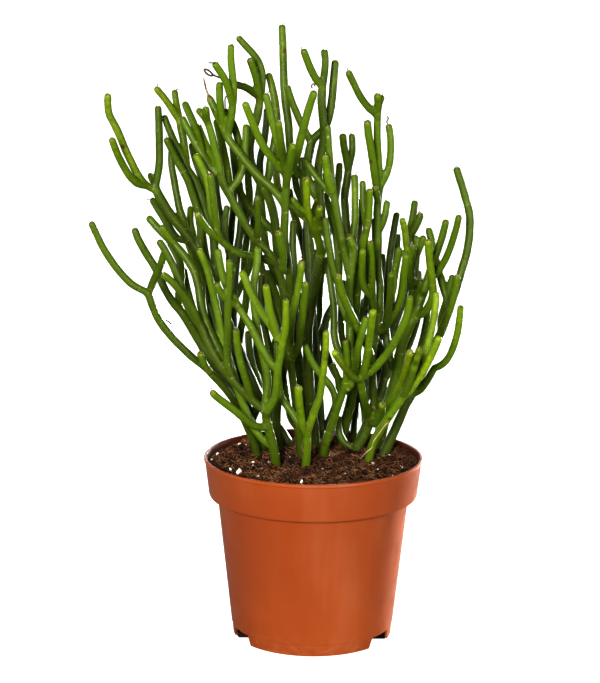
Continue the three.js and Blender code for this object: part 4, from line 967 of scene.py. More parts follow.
# %% Twig thickness
SHRINKS_BACK_MM = 0.7
SLIM_AT_TIP = 0.97
FILLED_OUT = 0.15
FILLS_OUT_MM = 28
SKIN_THICKENING = 0.02
SKIN_THICKENING_INSIDE = 0.14
INNER_STEMS = ("rear_left", "crown_left", "rear_centre_left", "crown_centre", "crown_right", "middle_right",
               "back_left", "back_centre", "back_right")
SWOLLEN_FOOT = 0.26
SWOLLEN_FEET = {"front_right": 0.45, "small_right": 0.0, "outer_left": 0.05}
FOOT_REACH_MM = 50
SHOOT_NECK = 0.12
NECK_LENGTH_MM = 4.0
RING_WAIST = 0.05
RING_WAIST_REACH_MM = 2.5
WITHERED_ENDS_MM = {("crown_centre_left", "f"): 16}
WITHERED_THICKNESS = 0.30
TIP_BULGE = 1.03
TIP_SHAPE = ((1.10, 1.0), (0.72, 0.97), (0.42, 0.87), (0.20, 0.68), (0.06, 0.42), (0.0, 0.18))
RING_SPACING_MM = (38, 80)
RING_FREE_END_MM = 25
DOT_SPACING_MM = (7, 19)
DOT_FREE_END_MM = 4

looks = random.Random(11)


class Course:
    """A twig as it is seen: points, radii and distances from its root, in millimetres."""

    def __init__(self, twig):
        self.twig = twig
        self.stem = twig.samples[-1].stem
        self.points = [Vector(in_space(s.across, s.height, s.behind)) for s in twig.samples]
        self.gone = [0.0]
        for first, second in zip(self.points, self.points[1:]):
            self.gone.append(self.gone[-1] + (second - first).length)
        self.whole = self.gone[-1]
        self.radii = [radius * self.fullness(i) for i, radius in enumerate(twig.radii)]
        self.withers = WITHERED_ENDS_MM.get((self.stem, twig.name), 0)
        for i, distance in enumerate(self.gone):
            if distance > self.whole - self.withers:
                self.radii[i] *= WITHERED_THICKNESS
        self.rings = self.strewn_along(RING_SPACING_MM, RING_FREE_END_MM)
        self.dots = self.strewn_along(DOT_SPACING_MM, DOT_FREE_END_MM)
        for ring in self.rings:
            for i, distance in enumerate(self.gone):
                self.radii[i] *= 1 - RING_WAIST * math.exp(-((distance - ring) / RING_WAIST_REACH_MM) ** 2)
        self.add_blunt_tip()

    def fullness(self, i):
        """How much thicker or thinner than the CAD's own radius the twig is at a sample."""
        twig, distance = self.twig, self.gone[i]
        full = SLIM_AT_TIP + FILLED_OUT * (1 - math.exp((distance - self.whole) / FILLS_OUT_MM))
        thickening = SKIN_THICKENING_INSIDE if self.stem in INNER_STEMS else SKIN_THICKENING
        full *= twig.carried[i] ** (thickening - THICKENING)
        if twig.parent:
            beyond = max(0.0, distance - twig.samples[0].radius)
            return full * (1 - SHOOT_NECK * math.exp(-(beyond / NECK_LENGTH_MM) ** 2))
        low = max(0.0, 1 - (twig.samples[i].height - GROUND_LEVEL_MM) / FOOT_REACH_MM)
        return full * (1 + SWOLLEN_FEET.get(self.stem, SWOLLEN_FOOT) * min(1.0, low))

    def strewn_along(self, spacing, free_end):
        places = []
        reach = looks.uniform(*spacing)
        while reach < self.whole - free_end:
            places.append(reach)
            reach += looks.uniform(*spacing)
        return places

    def add_blunt_tip(self):
        """Puts the steps of TIP_SHAPE, each a way back and a share of the radius, on the end."""
        ahead = (self.points[-1] - self.points[-2]).normalized()
        end, last_radius = self.points[-1] + ahead * SHRINKS_BACK_MM, self.radii[-1] * TIP_BULGE
        self.points, self.radii, self.gone = self.points[:-1], self.radii[:-1], self.gone[:-1]
        for back, share in TIP_SHAPE:
            self.points.append(end - ahead * back * last_radius)
            self.radii.append(last_radius * share)
            self.gone.append(self.whole - back * last_radius)

    def ahead(self, i):
        start = min(i, len(self.points) - 2)
        return (self.points[start + 1] - self.points[start]).normalized()


# %% [markdown]
# ## Round twigs that grow together
# A curve with a round bevel makes the tube of each twig. The tubes of a stem only overlap, so a voxel
# remesh makes one skin of them, and smoothing fills the forks the way bark does. The tubes start a
# little thicker, because smoothing thins them. The same tubes, left as they are, make fibres and
# straws further on.

# %% Tubes and skins
VOXEL = 0.9 * MM
SMOOTHING = {"factor": 0.5, "iterations": 5}
THINNING_MM = 0.2
TWIG_ROUNDNESS = 3


def tubes(name, threads, roundness):
    """A mesh of round tubes: each thread is its points, in metres, and its radii, in millimetres."""
    curve = bpy.data.curves.new(name, "CURVE")
    curve.dimensions = "3D"
    curve.bevel_depth = MM
    curve.bevel_resolution = roundness
    curve.use_fill_caps = True
    for points, radii in threads:
        spline = curve.splines.new("POLY")
        spline.points.add(len(points) - 1)
        for knot, point, radius in zip(spline.points, points, radii):
            knot.co = (*point, 1)
            knot.radius = radius
    mesh = evaluated_mesh(new_object(name, curve))
    bpy.data.curves.remove(curve)
    return mesh


def stem_mesh(name, courses):
    threads = [([point * MM for point in course.points], [radius + THINNING_MM for radius in course.radii])
               for course in courses]
    return with_modifiers_applied(tubes(name, threads, TWIG_ROUNDNESS), [
        ("REMESH", {"mode": "VOXEL", "voxel_size": VOXEL, "use_smooth_shade": True}),
        ("SMOOTH", SMOOTHING),
    ])


# %% [markdown]
# ## What the bark knows about itself
# The bark's colour follows its growth: fresh yellow-green at the tips and deeper green further down.
# Age runs on smoothly from a stem into its shoots, so each twig's ages are blurred, and a shoot starts
# at the age of the bark that it grows on.

# %% Age of the wood
AGES_BY_LENGTH_MM = 110
AGES_BY_TIPS = 7
AGE_BLEND_MM = 14
BLUR_SAMPLES = 6
BLUR_WIDTH = 3.0


def age_twigs(twigs):
    """Gives every sample of the twigs an age from 0 to 1."""
    for twig in twigs:
        steps = len(twig.samples) - 1
        length = steps * SAMPLE_STEP_MM
        ages = np.array([0.5 * (1 - math.exp((i * SAMPLE_STEP_MM - length) / AGES_BY_LENGTH_MM))
                         + 0.5 * (1 - math.exp((1 - carried) / AGES_BY_TIPS))
                         for i, carried in enumerate(twig.carried)])
        kernel = np.exp(-(np.arange(-BLUR_SAMPLES, BLUR_SAMPLES + 1) / BLUR_WIDTH) ** 2)
        padded = np.pad(ages, BLUR_SAMPLES, mode="edge")
        ages = np.convolve(padded, kernel / kernel.sum(), "valid")
        if twig.parent:
            share = np.exp(-np.arange(steps + 1) * SAMPLE_STEP_MM / AGE_BLEND_MM)
            ages = ages + share * (twig.parent.ages[twig.root_index] - ages[0])
        twig.ages = ages


# %% [markdown]
# Some twigs are clearly fresher than their neighbours and some are dull, and those are named by
# their letters; all others get a chance tint between. A tint is drawn from a least value and a spread.
# Most of the shoots in the shade on the three back stems are listed as dull, so their darker green is
# partly painted shade.

# %% Tints
FRESH_TWIGS = {"front_centre": "ab", "crown_left": "bcij", "rear_centre_left": "d", "crown_centre": "fg",
               "front_right": "himn", "crown_right": "c", "middle_right": "bj", "back_centre": "g",
               "small_right": "ac", "outer_right": "b"}
# the shade shoots listed here for the back stems are dull partly as painted shade
DULL_TWIGS = {"front_left": "dghi", "outer_left": "ab", "rear_left": "b", "upper_left": "lno",
              "centre_right": "h", "crown_right": "g", "middle_right": "k", "back_left": "abpqrs",
              "back_centre": "pqr", "back_right": "pqrstu"}
FRESH_TINT = (0.72, 0.25)
DULL_TINT = (-0.15, 0.25)
CHANCE_TINT = (0.15, 0.60)


def tint_of(course):
    """How fresh a twig's green is, from about 0, dull, to 1, fresh."""
    least, spread = CHANCE_TINT
    if course.twig.name in FRESH_TWIGS.get(course.stem, ""):
        least, spread = FRESH_TINT
    elif course.twig.name in DULL_TWIGS.get(course.stem, ""):
        least, spread = DULL_TINT
    return least + spread * looks.random()


print(sum(map(len, FRESH_TWIGS.values())), "fresh twigs and", sum(map(len, DULL_TWIGS.values())), "dull ones")

# %% [markdown]
# Where a leaf fell off, the skin has a small dot and a small bump. The dots sit all round a twig.
# Corky marks are fewer and lie where wind or a neighbour has rubbed the bark. They are listed by where
# they are seen: across, height, and how far they reach both ways.

# %% Dots and corky marks
CORKY_MARKS_MM = [(-8.4, 146, 1.0, 9), (-4, 165, 1.8, 2.2), (39.3, 327.8, 1.4, 1.6), (38.6, 320.9, 1.2, 1.4),
                  (25.8, 312.4, 1.5, 1.5), (18.3, 302.3, 1.3, 1.8), (-36.6, 305.7, 1.3, 1.6),
                  (3.7, 320.6, 1.2, 1.2), (4.5, 315.3, 1.1, 1.5), (56.7, 331, 1.4, 1.4),
                  (-45, 305.6, 1.3, 1.3), (-23.2, 362.4, 1.3, 1.4), (9.1, 389.9, 1.3, 1.5),
                  (41, 325, 1.0, 3.0), (54.5, 155, 1.2, 5), (46.5, 180, 2.0, 2.4), (-10, 292, 1.3, 2.2),
                  (49, 277, 1.4, 2), (50, 246, 1.4, 1.6)]


def dots_on(course):
    """Places on a twig's skin where a leaf fell off, in metres."""
    places = []
    for distance in course.dots:
        i = min(int(np.searchsorted(course.gone, distance)), len(course.points) - 1)
        sideways = course.ahead(i).orthogonal().normalized()
        sideways.rotate(Matrix.Rotation(looks.uniform(0, 2 * math.pi), 3, course.ahead(i)))
        before = course.points[i] - course.ahead(i) * (course.gone[i] - distance)
        places.append((before + sideways * course.radii[i]) * MM)
    return places


def corkiness(place):
    """How much of a corky mark is at a place, in metres, as it is seen from the front."""
    reach = 1 + place.y / MM / EYE_DISTANCE_MM
    across = place.x / MM / reach
    height = EYE_HEIGHT_MM + (place.z / MM - EYE_HEIGHT_MM) / reach
    return max(math.exp(-((across - x) / wide) ** 2 - ((height - z) / tall) ** 2)
               for x, z, wide, tall in CORKY_MARKS_MM)


print(len(CORKY_MARKS_MM), "corky marks")

# %% [markdown]
# Every point of the skin looks up the nearest place on the twigs' middle lines, with a k-d tree, and
# keeps what it finds in attributes that the material reads: its age and tint, and how much of a tip
# scar, a ring, a dot, cork or withered bark it is. The dots and a slight unevenness also move the
# point itself, so they are in the shape.

# %% Growth attributes
TIP_SCAR_MM = (0.1, 1.5)
SCAR_EDGE_MM = 0.35
WITHERED_EDGE_MM = 0.8
FAR_FROM_TIP_MM = 9
ROOT_RING_REACH_MM = 1.8
RING_REACH_MM = 1.2
DOT_RADIUS_MM = 0.85
DOT_BUMP_MM = 0.28
UNEVENNESS_MM = 0.16
UNEVENNESS_SCALE = 130
FRONT_NORMAL = 0.1


def tree_of(points):
    tree = kdtree.KDTree(len(points))
    for i, point in enumerate(points):
        tree.insert(point, i)
    tree.balance()
    return tree


def hump(distance, reach):
    return math.exp(-(distance / reach) ** 2)


def within_tip(to_tip, length, edge):
    """Runs softly from 0 to 1 where less than the length is left to the tip."""
    return 1 / (1 + math.exp((min(to_tip, FAR_FROM_TIP_MM) - length) / edge))


def add_growth(mesh, courses):
    records = []
    for course in courses:
        tint = tint_of(course)
        scar = looks.uniform(*TIP_SCAR_MM)
        for i, point in enumerate(course.points):
            age = course.twig.ages[min(i, len(course.twig.ages) - 1)]
            records.append((course, i, point * MM, course.ahead(i), age, tint, scar))
    middle_lines = tree_of([record[2] for record in records])
    dots = tree_of([place for course in courses for place in dots_on(course)])
    names = ("tip", "root_ring", "ring", "age", "tint", "dot", "cork", "withered")
    values = {name: np.zeros(len(mesh.vertices), np.float32) for name in names}
    for vertex in mesh.vertices:
        _, found, _ = middle_lines.find(vertex.co)
        course, i, point, ahead, age, tint, scar = records[found]
        distance = course.gone[i] + (vertex.co - point).dot(ahead) / MM
        to_tip = course.whole - distance
        _, _, off_dot = dots.find(vertex.co)
        k = vertex.index
        values["age"][k] = age
        values["tint"][k] = tint
        values["tip"][k] = within_tip(to_tip, scar, SCAR_EDGE_MM)
        values["ring"][k] = max([hump(distance - ring, RING_REACH_MM) for ring in course.rings], default=0)
        if course.twig.parent:
            values["root_ring"][k] = hump(distance - course.twig.samples[0].radius, ROOT_RING_REACH_MM)
        if course.withers:
            values["withered"][k] = 1 / (1 + math.exp(min(FAR_FROM_TIP_MM, to_tip - course.withers)
                                                      / WITHERED_EDGE_MM))
        if off_dot is not None:
            values["dot"][k] = hump(off_dot / MM, DOT_RADIUS_MM)
        if vertex.normal.y < FRONT_NORMAL:
            values["cork"][k] = corkiness(vertex.co)
    outward = [vertex.normal.copy() for vertex in mesh.vertices]
    for vertex, normal in zip(mesh.vertices, outward):
        unevenness = UNEVENNESS_MM * noise.noise(vertex.co * UNEVENNESS_SCALE)
        vertex.co += normal * (DOT_BUMP_MM * values["dot"][vertex.index] + unevenness) * MM
    for name, numbers in values.items():
        mesh.attributes.new(name, "FLOAT", "POINT").data.foreach_set("value", numbers)


# %% [markdown]
# ## The bark's greens
# The bark is smooth and a little waxy. Twigs differ a good deal from one another: a twig's tint, soft
# clouds and a fine mottling add up, age takes away, and the sum chooses between four greens. Painted
# shade darkens the bark towards the back of the plant, and a painted light makes the foremost shoots
# the sunniest. Old bark turns grey in patches.

# %% Greens
SUNNY = (0.240, 0.320, 0.012)
FRESH = (0.104, 0.164, 0.008)
GREEN = (0.073, 0.113, 0.007)
DEEP = (0.056, 0.081, 0.006)
OLD = (0.055, 0.070, 0.010)
BLACK = (0, 0, 0)
TINT_COUNTS, CLOUDS_COUNT, MOTTLING_COUNTS, AGE_COUNTS = 0.62, 0.45, 0.50, 0.60
ALL_DULLER = 0.20
SUNNY_FROM_TO = (0.60, 1.02)
GREEN_FROM_TO = (0.58, 0.22)
DEEP_FROM_TO = (0.26, -0.05)
OLD_FROM_TO = (0.55, 0.95)
SHADE_STARTS, SHADE_ENDS, SHADE_LEAVES = -0.045, 0.105, 0.55
SUN_STARTS, SUN_ENDS = -0.030, -0.085

bark = Finish("green_bark", roughness=0.46, first_colour=FRESH)
age = bark.attribute("age")
clouds = bark.noise(scale=60, detail=3)
mottling = bark.noise(scale=260, detail=4, roughness=0.65)
tint = bark.attribute("tint")
varied = bark.total((tint, TINT_COUNTS), (clouds, CLOUDS_COUNT), (mottling, MOTTLING_COUNTS))
varied = bark.maths("SUBTRACT", varied, ALL_DULLER)
freshness = bark.maths("SUBTRACT", varied, bark.maths("MULTIPLY", age, AGE_COUNTS))
bark.coat(bark.remap(freshness, *SUNNY_FROM_TO), SUNNY)
bark.coat(bark.remap(freshness, *GREEN_FROM_TO), GREEN)
bark.coat(bark.remap(freshness, *DEEP_FROM_TO), DEEP)
# painted shade: the bark is mixed towards black by its depth, darker the further back it stands
depth = bark.along(bark.place, "Y")
painted_light_left = bark.remap(depth, low=SHADE_STARTS, high=SHADE_ENDS, to_low=1.0, to_high=SHADE_LEAVES)
bark.colour = bark.mix(painted_light_left, BLACK, bark.colour)
# painted light: the foremost bark is coated with the sunny green by its depth
bark.coat(bark.remap(depth, SUN_STARTS, SUN_ENDS), SUNNY, strength=0.45)
old_patches = bark.mask(patches, Scale=120, Detail=4, Low=0.52, High=0.70)
bark.coat(bark.maths("MULTIPLY", bark.remap(age, *OLD_FROM_TO), old_patches), OLD, strength=0.5)
print("greens:", len(bark.tree.nodes), "nodes")

# %% [markdown]
# ## Pores, flecks and leaf dots
# Up close the green is full of small marks: fine pale pores, dark flecks, a few larger brown scars, and
# a pale or dark dot where each leaf fell off.

# %% Small marks
DARKEST_DOT = (0.030, 0.026, 0.008)
PALE_DOT = (0.30, 0.30, 0.06)
SCAR = (0.075, 0.036, 0.012)
PALE_SCAR = (0.31, 0.30, 0.10)
STRAW = (0.33, 0.235, 0.125)

bark.coat(bark.mask(speckle, Scale=420, Size=0.17, Share=0.16), PALE_SCAR, strength=0.52)
bark.coat(bark.mask(speckle, Scale=260, Size=0.15, Share=0.10), DARKEST_DOT, strength=0.65)
bark.coat(bark.mask(speckle, Scale=120, Size=0.20, Share=0.045), SCAR, strength=0.8)
dot_tone = bark.mix(bark.mask(patches, Scale=26, Detail=2, Low=0.44, High=0.56), DARKEST_DOT, PALE_DOT)
bark.coat(bark.remap(bark.attribute("dot"), low=0.45, high=0.85, to_low=0.0, to_high=0.75), dot_tone)
print("with small marks:", len(bark.tree.nodes), "nodes")

# %% [markdown]
# ## Scars at the tips and rings, cork and dry ends
# A tip carries a brown and yellow scar, a ring is a thin broken line of the same two tones, and cork
# and withered bark run from brown to straw. A noise frays each mask before it is cut, so no mark has
# a clean edge. The scars are dull, the green has a soft sheen, and two bumps make it slightly uneven.

# %% Scars and sheen
rough_edge = bark.noise(scale=700, detail=3)
tip_edge = bark.maths("ADD", bark.attribute("tip"), bark.maths("MULTIPLY", rough_edge, 0.6))
tip_scar = bark.remap(tip_edge, low=0.72, high=1.10)
tip_tone = bark.mix(bark.mask(patches, Scale=900, Detail=2, Low=0.44, High=0.60), SCAR, PALE_SCAR)
bark.coat(tip_scar, tip_tone, strength=0.72)
ring_mark = bark.maths("MAXIMUM", bark.attribute("root_ring"), bark.attribute("ring"))
ring_edge = bark.maths("ADD", ring_mark, bark.maths("MULTIPLY", bark.noise(scale=380, detail=3), 1.1))
ring_scar = bark.remap(ring_edge, low=1.25, high=1.70)
bark.coat(ring_scar, bark.mix(bark.remap(clouds, low=0.42, high=0.58), SCAR, PALE_SCAR), strength=0.55)
cork_edge = bark.maths("ADD", bark.attribute("cork"), bark.maths("MULTIPLY", rough_edge, 0.5))
cork_tone = bark.mix(bark.remap(mottling, low=0.40, high=0.62), SCAR, STRAW)
bark.coat(bark.remap(cork_edge, low=0.72, high=1.00, to_low=0.0, to_high=0.85), cork_tone)
bark.coat(bark.attribute("withered"), bark.mix(bark.remap(mottling, low=0.35, high=0.65), SCAR, STRAW))
bark.dent(bark.noise(scale=240, detail=3), strength=0.25, distance=0.6 * MM)
bark.dent(bark.noise(scale=850, detail=3), strength=0.28, distance=0.4 * MM)
either_scar = bark.maths("MAXIMUM", tip_scar, ring_scar)
bark.give("Roughness", bark.remap(either_scar, low=0.0, high=1.0, to_low=0.40, to_high=0.75))
bark.give("Specular IOR Level", 0.20)
green_bark = bark.finished()

# %% [markdown]
# ## Make the stems
# Now each stem gets its ages, its courses, its skin and its growth, and stands for its CAD node.

# %% Make the stems
stem_courses = {}
for name, twigs in stems.items():
    age_twigs(twigs)
    courses = [Course(twig) for twig in twigs]
    mesh = stem_mesh(name, courses)
    add_growth(mesh, courses)
    stem_courses[name] = courses
    finished_piece("euphorbia_" + name, mesh, green_bark, "stem_" + name)

# %% [markdown]
# ## The soil
# The soil fills the pot almost to the rim. It lies highest along the wall, has a clump of coir at the
# back on the left, and is pressed down in front, round the foremost cuttings. It is spun like the pot:
# up the inside of the wall, and inwards in many rings. The surface is then lifted to its heaps, its
# long and short rolls and the lumps of three sizes that noise makes.

# %% Soil surface
SOIL_EDGE_HEIGHT_MM = 136.8
SOIL_HEAPS_MM = [(-14, 2, -6.0, 25), (50, -8, -2.5, 20), (-52, 46, 3.0, 8), (66, 34, 1.2, 22)]
LONG_ROLLS_MM, LONG_WAVES = 0.9, (0.13, 0.11)
SHORT_ROLLS_MM, SHORT_WAVES = 0.6, (0.31, 0.27)
LUMPS = [(150, 1.6), (420, 1.0), (1100, 0.6)]
SURFACE_FROM_MM = SOIL_EDGE_HEIGHT_MM - 0.1
FIT_GAP = 0.35 * MM
SOIL_RINGS = 58
SOIL_SIDES = 240


def soil_height(x, y):
    """The soil's height at a place, all in millimetres: an even fill, its heaps and hollows, and rolls."""
    heaps = sum(rise * math.exp(-((x - across) ** 2 + (y - behind) ** 2) / reach ** 2)
                for across, behind, rise, reach in SOIL_HEAPS_MM)
    long_rolls = LONG_ROLLS_MM * math.sin(LONG_WAVES[0] * x + 1) * math.cos(LONG_WAVES[1] * y)
    short_rolls = SHORT_ROLLS_MM * math.sin(SHORT_WAVES[0] * x - SHORT_WAVES[1] * y)
    return SOIL_EDGE_HEIGHT_MM + heaps + (long_rolls + short_rolls)


def crumbly_height(x, y):
    """The soil's height with its lumps, in metres, from a place in metres."""
    lumps = sum(noise.noise(Vector((x, y, 0)) * scale) * rise for scale, rise in LUMPS)
    return (soil_height(x / MM, y / MM) + lumps) * MM


along = (SOIL_EDGE_HEIGHT_MM * MM - COLLAR_INSIDE_LOW[1]) / (COLLAR_INSIDE_HIGH[1] - COLLAR_INSIDE_LOW[1])
soil_edge_radius = COLLAR_INSIDE_LOW[0] + (COLLAR_INSIDE_HIGH[0] - COLLAR_INSIDE_LOW[0]) * along - FIT_GAP
ring_radii = [soil_edge_radius * (1 - ring / SOIL_RINGS) for ring in range(SOIL_RINGS)]
soil_outline = [(max(radius - FIT_GAP, 0), height + FIT_GAP) for radius, height in reversed(INSIDE_OF_POT)]
soil_outline += [(radius, SOIL_EDGE_HEIGHT_MM * MM) for radius in (*ring_radii, 0)]
soil_bm = spun(soil_outline, SOIL_SIDES)
for point in soil_bm.verts:
    if point.co.z > SURFACE_FROM_MM * MM:
        point.co.z = crumbly_height(point.co.x, point.co.y)
soil_mesh = mesh_from(soil_bm, "soil")
print("soil:", round(soil_edge_radius / MM, 1), "mm wide from the axis to its edge")

# %% [markdown]
# Peat is nearly black where it is wet and red-brown where it has dried, with lighter threads of coir.
# Wide clouds and small bits decide together which it is, and the bits also make it rough.

# %% Soil material
WET_PEAT = (0.012, 0.006, 0.004)
DRY_PEAT = (0.110, 0.042, 0.016)
COIR = (0.34, 0.17, 0.072)

soil = Finish("potting_soil", roughness=0.92, first_colour=WET_PEAT)
bits = soil.noise(scale=520, detail=4, roughness=0.7)
dryness = soil.total((soil.noise(scale=95, detail=4), 0.5), (bits, 0.5))
soil.coat(soil.remap(dryness, low=0.38, high=0.66), DRY_PEAT)
soil.coat(soil.mask(speckle, Scale=800, Size=0.30, Share=0.16), COIR, strength=0.6)
soil.dent(bits, strength=0.8, distance=1.2 * MM)
soil.give("Specular IOR Level", 0.25)
potting_soil = soil.finished()
finished_piece("soil_filling", soil_mesh, potting_soil, "soil")

# %% [markdown]
# ## Crumbs
# The loose bits are strewn by seeded draws. A crumb is a dented ball with few faces, because there are
# thousands. Each one is turned and squeezed by chance, and sunk a little into the surface.

# %% Crumbs
CRUMBS = 4200
CRUMB_LEAST_MM, CRUMB_MOST_MM, SMALL_CRUMBS = 0.40, 2.3, 2.4
STANDS_OUT = 0.25
CRUMB_FLATNESS = 0.75
CRUMBS_REACH = 0.97
WIDER_OR_NARROWER = (0.7, 1.4)
LONGER_OR_SHORTER = (0.7, 1.2)
FULL_TURN = 6.28
DENT_SCALE = 2.3
NEVER_ZERO = 0.01

strew = random.Random(5)


def spot_on_soil(reach):
    """A place on the soil, with a share of its radius left free at the edge."""
    radius = soil_edge_radius * reach * math.sqrt(strew.random())
    angle = strew.uniform(0, 2 * math.pi)
    return radius * math.cos(angle), radius * math.sin(angle)


def ball(name, subdivisions, dents):
    bm = bmesh.new()
    bmesh.ops.create_icosphere(bm, subdivisions=subdivisions, radius=1)
    for point in bm.verts:
        point.co *= 1 + dents * noise.noise(point.co * DENT_SCALE + Vector((len(name), 0, 0)))
    return mesh_from(bm, name)


def tumbled(where, size, flatness):
    angle = strew.uniform(0, FULL_TURN)
    axis = Vector((strew.gauss(0, 1), strew.gauss(0, 1), strew.gauss(0, 1) + NEVER_ZERO))
    width, length = strew.uniform(*WIDER_OR_NARROWER), strew.uniform(*LONGER_OR_SHORTER)
    shape = Matrix.Diagonal((width, length, flatness, 1))
    return Matrix.Translation(where) @ Matrix.Rotation(angle, 4, axis) @ shape @ Matrix.Scale(size, 4)


def scattered(name, template, places):
    """One mesh with a copy of the template mesh at each place, a matrix."""
    bm = bmesh.new()
    for matrix in places:
        copy = template.copy()
        copy.transform(matrix)
        bm.from_mesh(copy)
        bpy.data.meshes.remove(copy)
    return mesh_from(bm, name)


crumb_places = []
for crumb in range(CRUMBS):
    x, y = spot_on_soil(CRUMBS_REACH)
    size = MM * min(CRUMB_MOST_MM, CRUMB_LEAST_MM + strew.expovariate(SMALL_CRUMBS))
    crumb_places.append(tumbled((x, y, crumbly_height(x, y) + STANDS_OUT * size), size, CRUMB_FLATNESS))
crumbs = scattered("soil_crumbs", ball("crumb", subdivisions=1, dents=0.5), crumb_places)
finished_piece("soil_crumbs", crumbs, potting_soil, smooth=False)

# %% [markdown]
# ## Fibres
# Coir fibres are short bent threads that lie across the crumbs. Each takes a few steps over the soil,
# turning a little at each, and is lifted in its middle. One that would run into the wall is left out.

# %% Fibres
FIBRES = 1100
FIBRE_STEPS = 7
FIBRE_RADIUS_MM = (0.09, 0.22)
STRIDE_MM = (0.7, 2.2)
FIBRE_BEND, FIBRE_WOBBLE = 0.5, 0.25
FIBRE_LIFT_MM = 0.5
FIBRES_REACH = 0.93
ABOVE_CRUMBS = 0.5 * MM
FREE_OF_WALL = 1 * MM
LIFT_IN_MIDDLE = 3
DARK_COIR = (0.12, 0.050, 0.020)
POINTED = 0.55


def thread(points, radius):
    """A thread for tubes, of one radius in millimetres, thinner at both ends."""
    return points, [radius * POINTED, *[radius] * (len(points) - 2), radius * POINTED]


def fibre_way():
    x, y = spot_on_soil(FIBRES_REACH)
    heading, bend = strew.uniform(0, FULL_TURN), strew.gauss(0, FIBRE_BEND)
    lift = abs(strew.gauss(0, FIBRE_LIFT_MM)) * MM
    points = []
    for step in range(FIBRE_STEPS):
        arch = lift * math.sin(step / (FIBRE_STEPS - 1) * math.pi) * LIFT_IN_MIDDLE
        points.append((x, y, crumbly_height(x, y) + ABOVE_CRUMBS + arch))
        stride = strew.uniform(*STRIDE_MM) * MM
        x, y = x + stride * math.cos(heading), y + stride * math.sin(heading)
        heading += bend + strew.gauss(0, FIBRE_WOBBLE)
    return points


fibres = []
for fibre in range(FIBRES):
    points = fibre_way()
    if max(math.hypot(px, py) for px, py, _ in points) < soil_edge_radius - FREE_OF_WALL:
        fibres.append(thread(points, strew.uniform(*FIBRE_RADIUS_MM)))
fibre_paint = Finish("coir_fibre", roughness=0.8, first_colour=DARK_COIR)
fibre_paint.coat(fibre_paint.mask(patches, Scale=60, Detail=2, Low=0.35, High=0.65), COIR)
fibre_tubes = tubes("soil_fibres", fibres, roundness=0)
finished_piece("soil_fibres", fibre_tubes, fibre_paint.finished())

# %% [markdown]
# ## Perlite
# The white bits are perlite, a puffed-up volcanic glass. The larger ones lie left of the stems and one
# at the front, and small ones are strewn about. They are dented balls like the crumbs, with more faces
# because they are pale and show their shape.

# %% Perlite
PERLITE_SPOTS_MM = [(-59.3, 42, 2.4), (-75.3, 17, 2.6), (-73.8, 1, 1.5), (-63.9, -34, 2.5),
                    (-56.6, -37, 3.6), (-8.6, -63, 2.2), (-79, -2, 1.5), (-46.8, -6, 1.7), (46.6, 0, 1.5)]
SMALL_BITS = 60
SMALL_BIT_MM = (0.35, 0.8)
SPOT_SWELLS = 1.15
SPOT_STANDS_OUT, SPOT_FLATNESS = 0.45, 0.85
BIT_STANDS_OUT, BIT_FLATNESS = 0.6, 0.8
BITS_REACH = 0.95
PERLITE_WHITE = (0.86, 0.83, 0.76)
PERLITE_DIRT = (0.42, 0.32, 0.22)

perlite_places = []
for x, y, size in PERLITE_SPOTS_MM:
    where = (x * MM, y * MM, crumbly_height(x * MM, y * MM) + SPOT_STANDS_OUT * size * MM)
    perlite_places.append(tumbled(where, 0.5 * size * MM * SPOT_SWELLS, SPOT_FLATNESS))
for bit in range(SMALL_BITS):
    x, y = spot_on_soil(BITS_REACH)
    size = strew.uniform(*SMALL_BIT_MM) * MM
    perlite_places.append(tumbled((x, y, crumbly_height(x, y) + BIT_STANDS_OUT * size), size, BIT_FLATNESS))
perlite = scattered("soil_perlite", ball("perlite_bit", subdivisions=2, dents=0.7), perlite_places)
perlite_paint = Finish("perlite_white", roughness=0.85, first_colour=PERLITE_WHITE)
perlite_paint.coat(perlite_paint.mask(patches, Scale=500, Detail=3, Low=0.45, High=0.75), PERLITE_DIRT)
finished_piece("soil_perlite", perlite, perlite_paint.finished(), smooth=False)

# %% [markdown]
# ## Withered bits
# The plant drops its few small leaves. Some dry up and stay as dark wisps on the tips and forks, and
# one dead shoot has curled into a loop. They are bent threads, like the fibres. The clearest are
# written as they are seen, across and height, with the depth of what carries them. The others are
# leaflets: short threads that curl away from a tip by seeded draws.

# %% Wisps and leaflets: (depth, radius, [across, height, ...])
WISPS_MM = [
    (22.0, 0.8, [-66, 431.2, -71.8, 433.6, -75.2, 434.8, -77.5, 436, -79.3, 437.9, -81.6, 439.5, -84, 439.8,
                 -83.2, 437.8, -81.6, 436.2, -79.3, 435.2, -77.3, 435.2]),
    (-28.6, 0.5, [-76.2, 444, -77.9, 444.8, -79.3, 444.6, -80.9, 445.4]),
    (-5.2, 0.6, [-68.3, 411, -68.4, 413.3, -68.5, 416.3, -68.3, 418.6, -67.2, 420.2]),
    (-36.8, 0.6, [-3, 426, -3.6, 428, -2.6, 429.6, -1.2, 429, -1.4, 427.6]),
    (17.5, 0.6, [53.8, 400, 53.2, 402, 54.2, 404, 53.5, 406]),
    (-14.5, 0.5, [-109.5, 245.4, -111, 246, -112, 247.4, -113.4, 247.6, -114.2, 249]),
    (-44.0, 0.55, [-28.7, 229, -27.6, 231, -29.6, 232.2, -30.2, 231]),
    (-20.6, 0.55, [-10, 295, -9.2, 297.2, -10.8, 298.4]),
]
LEAFLET_SHARE = 0.45
LEAFLET_STEPS = 4
LEAFLET_STRIDE_MM = (0.4, 0.9)
LEAFLET_LEANS = (0.2, 1.2)
LEAFLET_CURL = 0.5
LEAFLET_RADIUS_MM = (0.22, 0.42)
LEAFLET_SINKS = 0.9
DRY_LEAF_DARK = (0.022, 0.013, 0.008)
DRY_LEAF_LIGHT = (0.085, 0.052, 0.024)
KNOTS_BETWEEN = 3


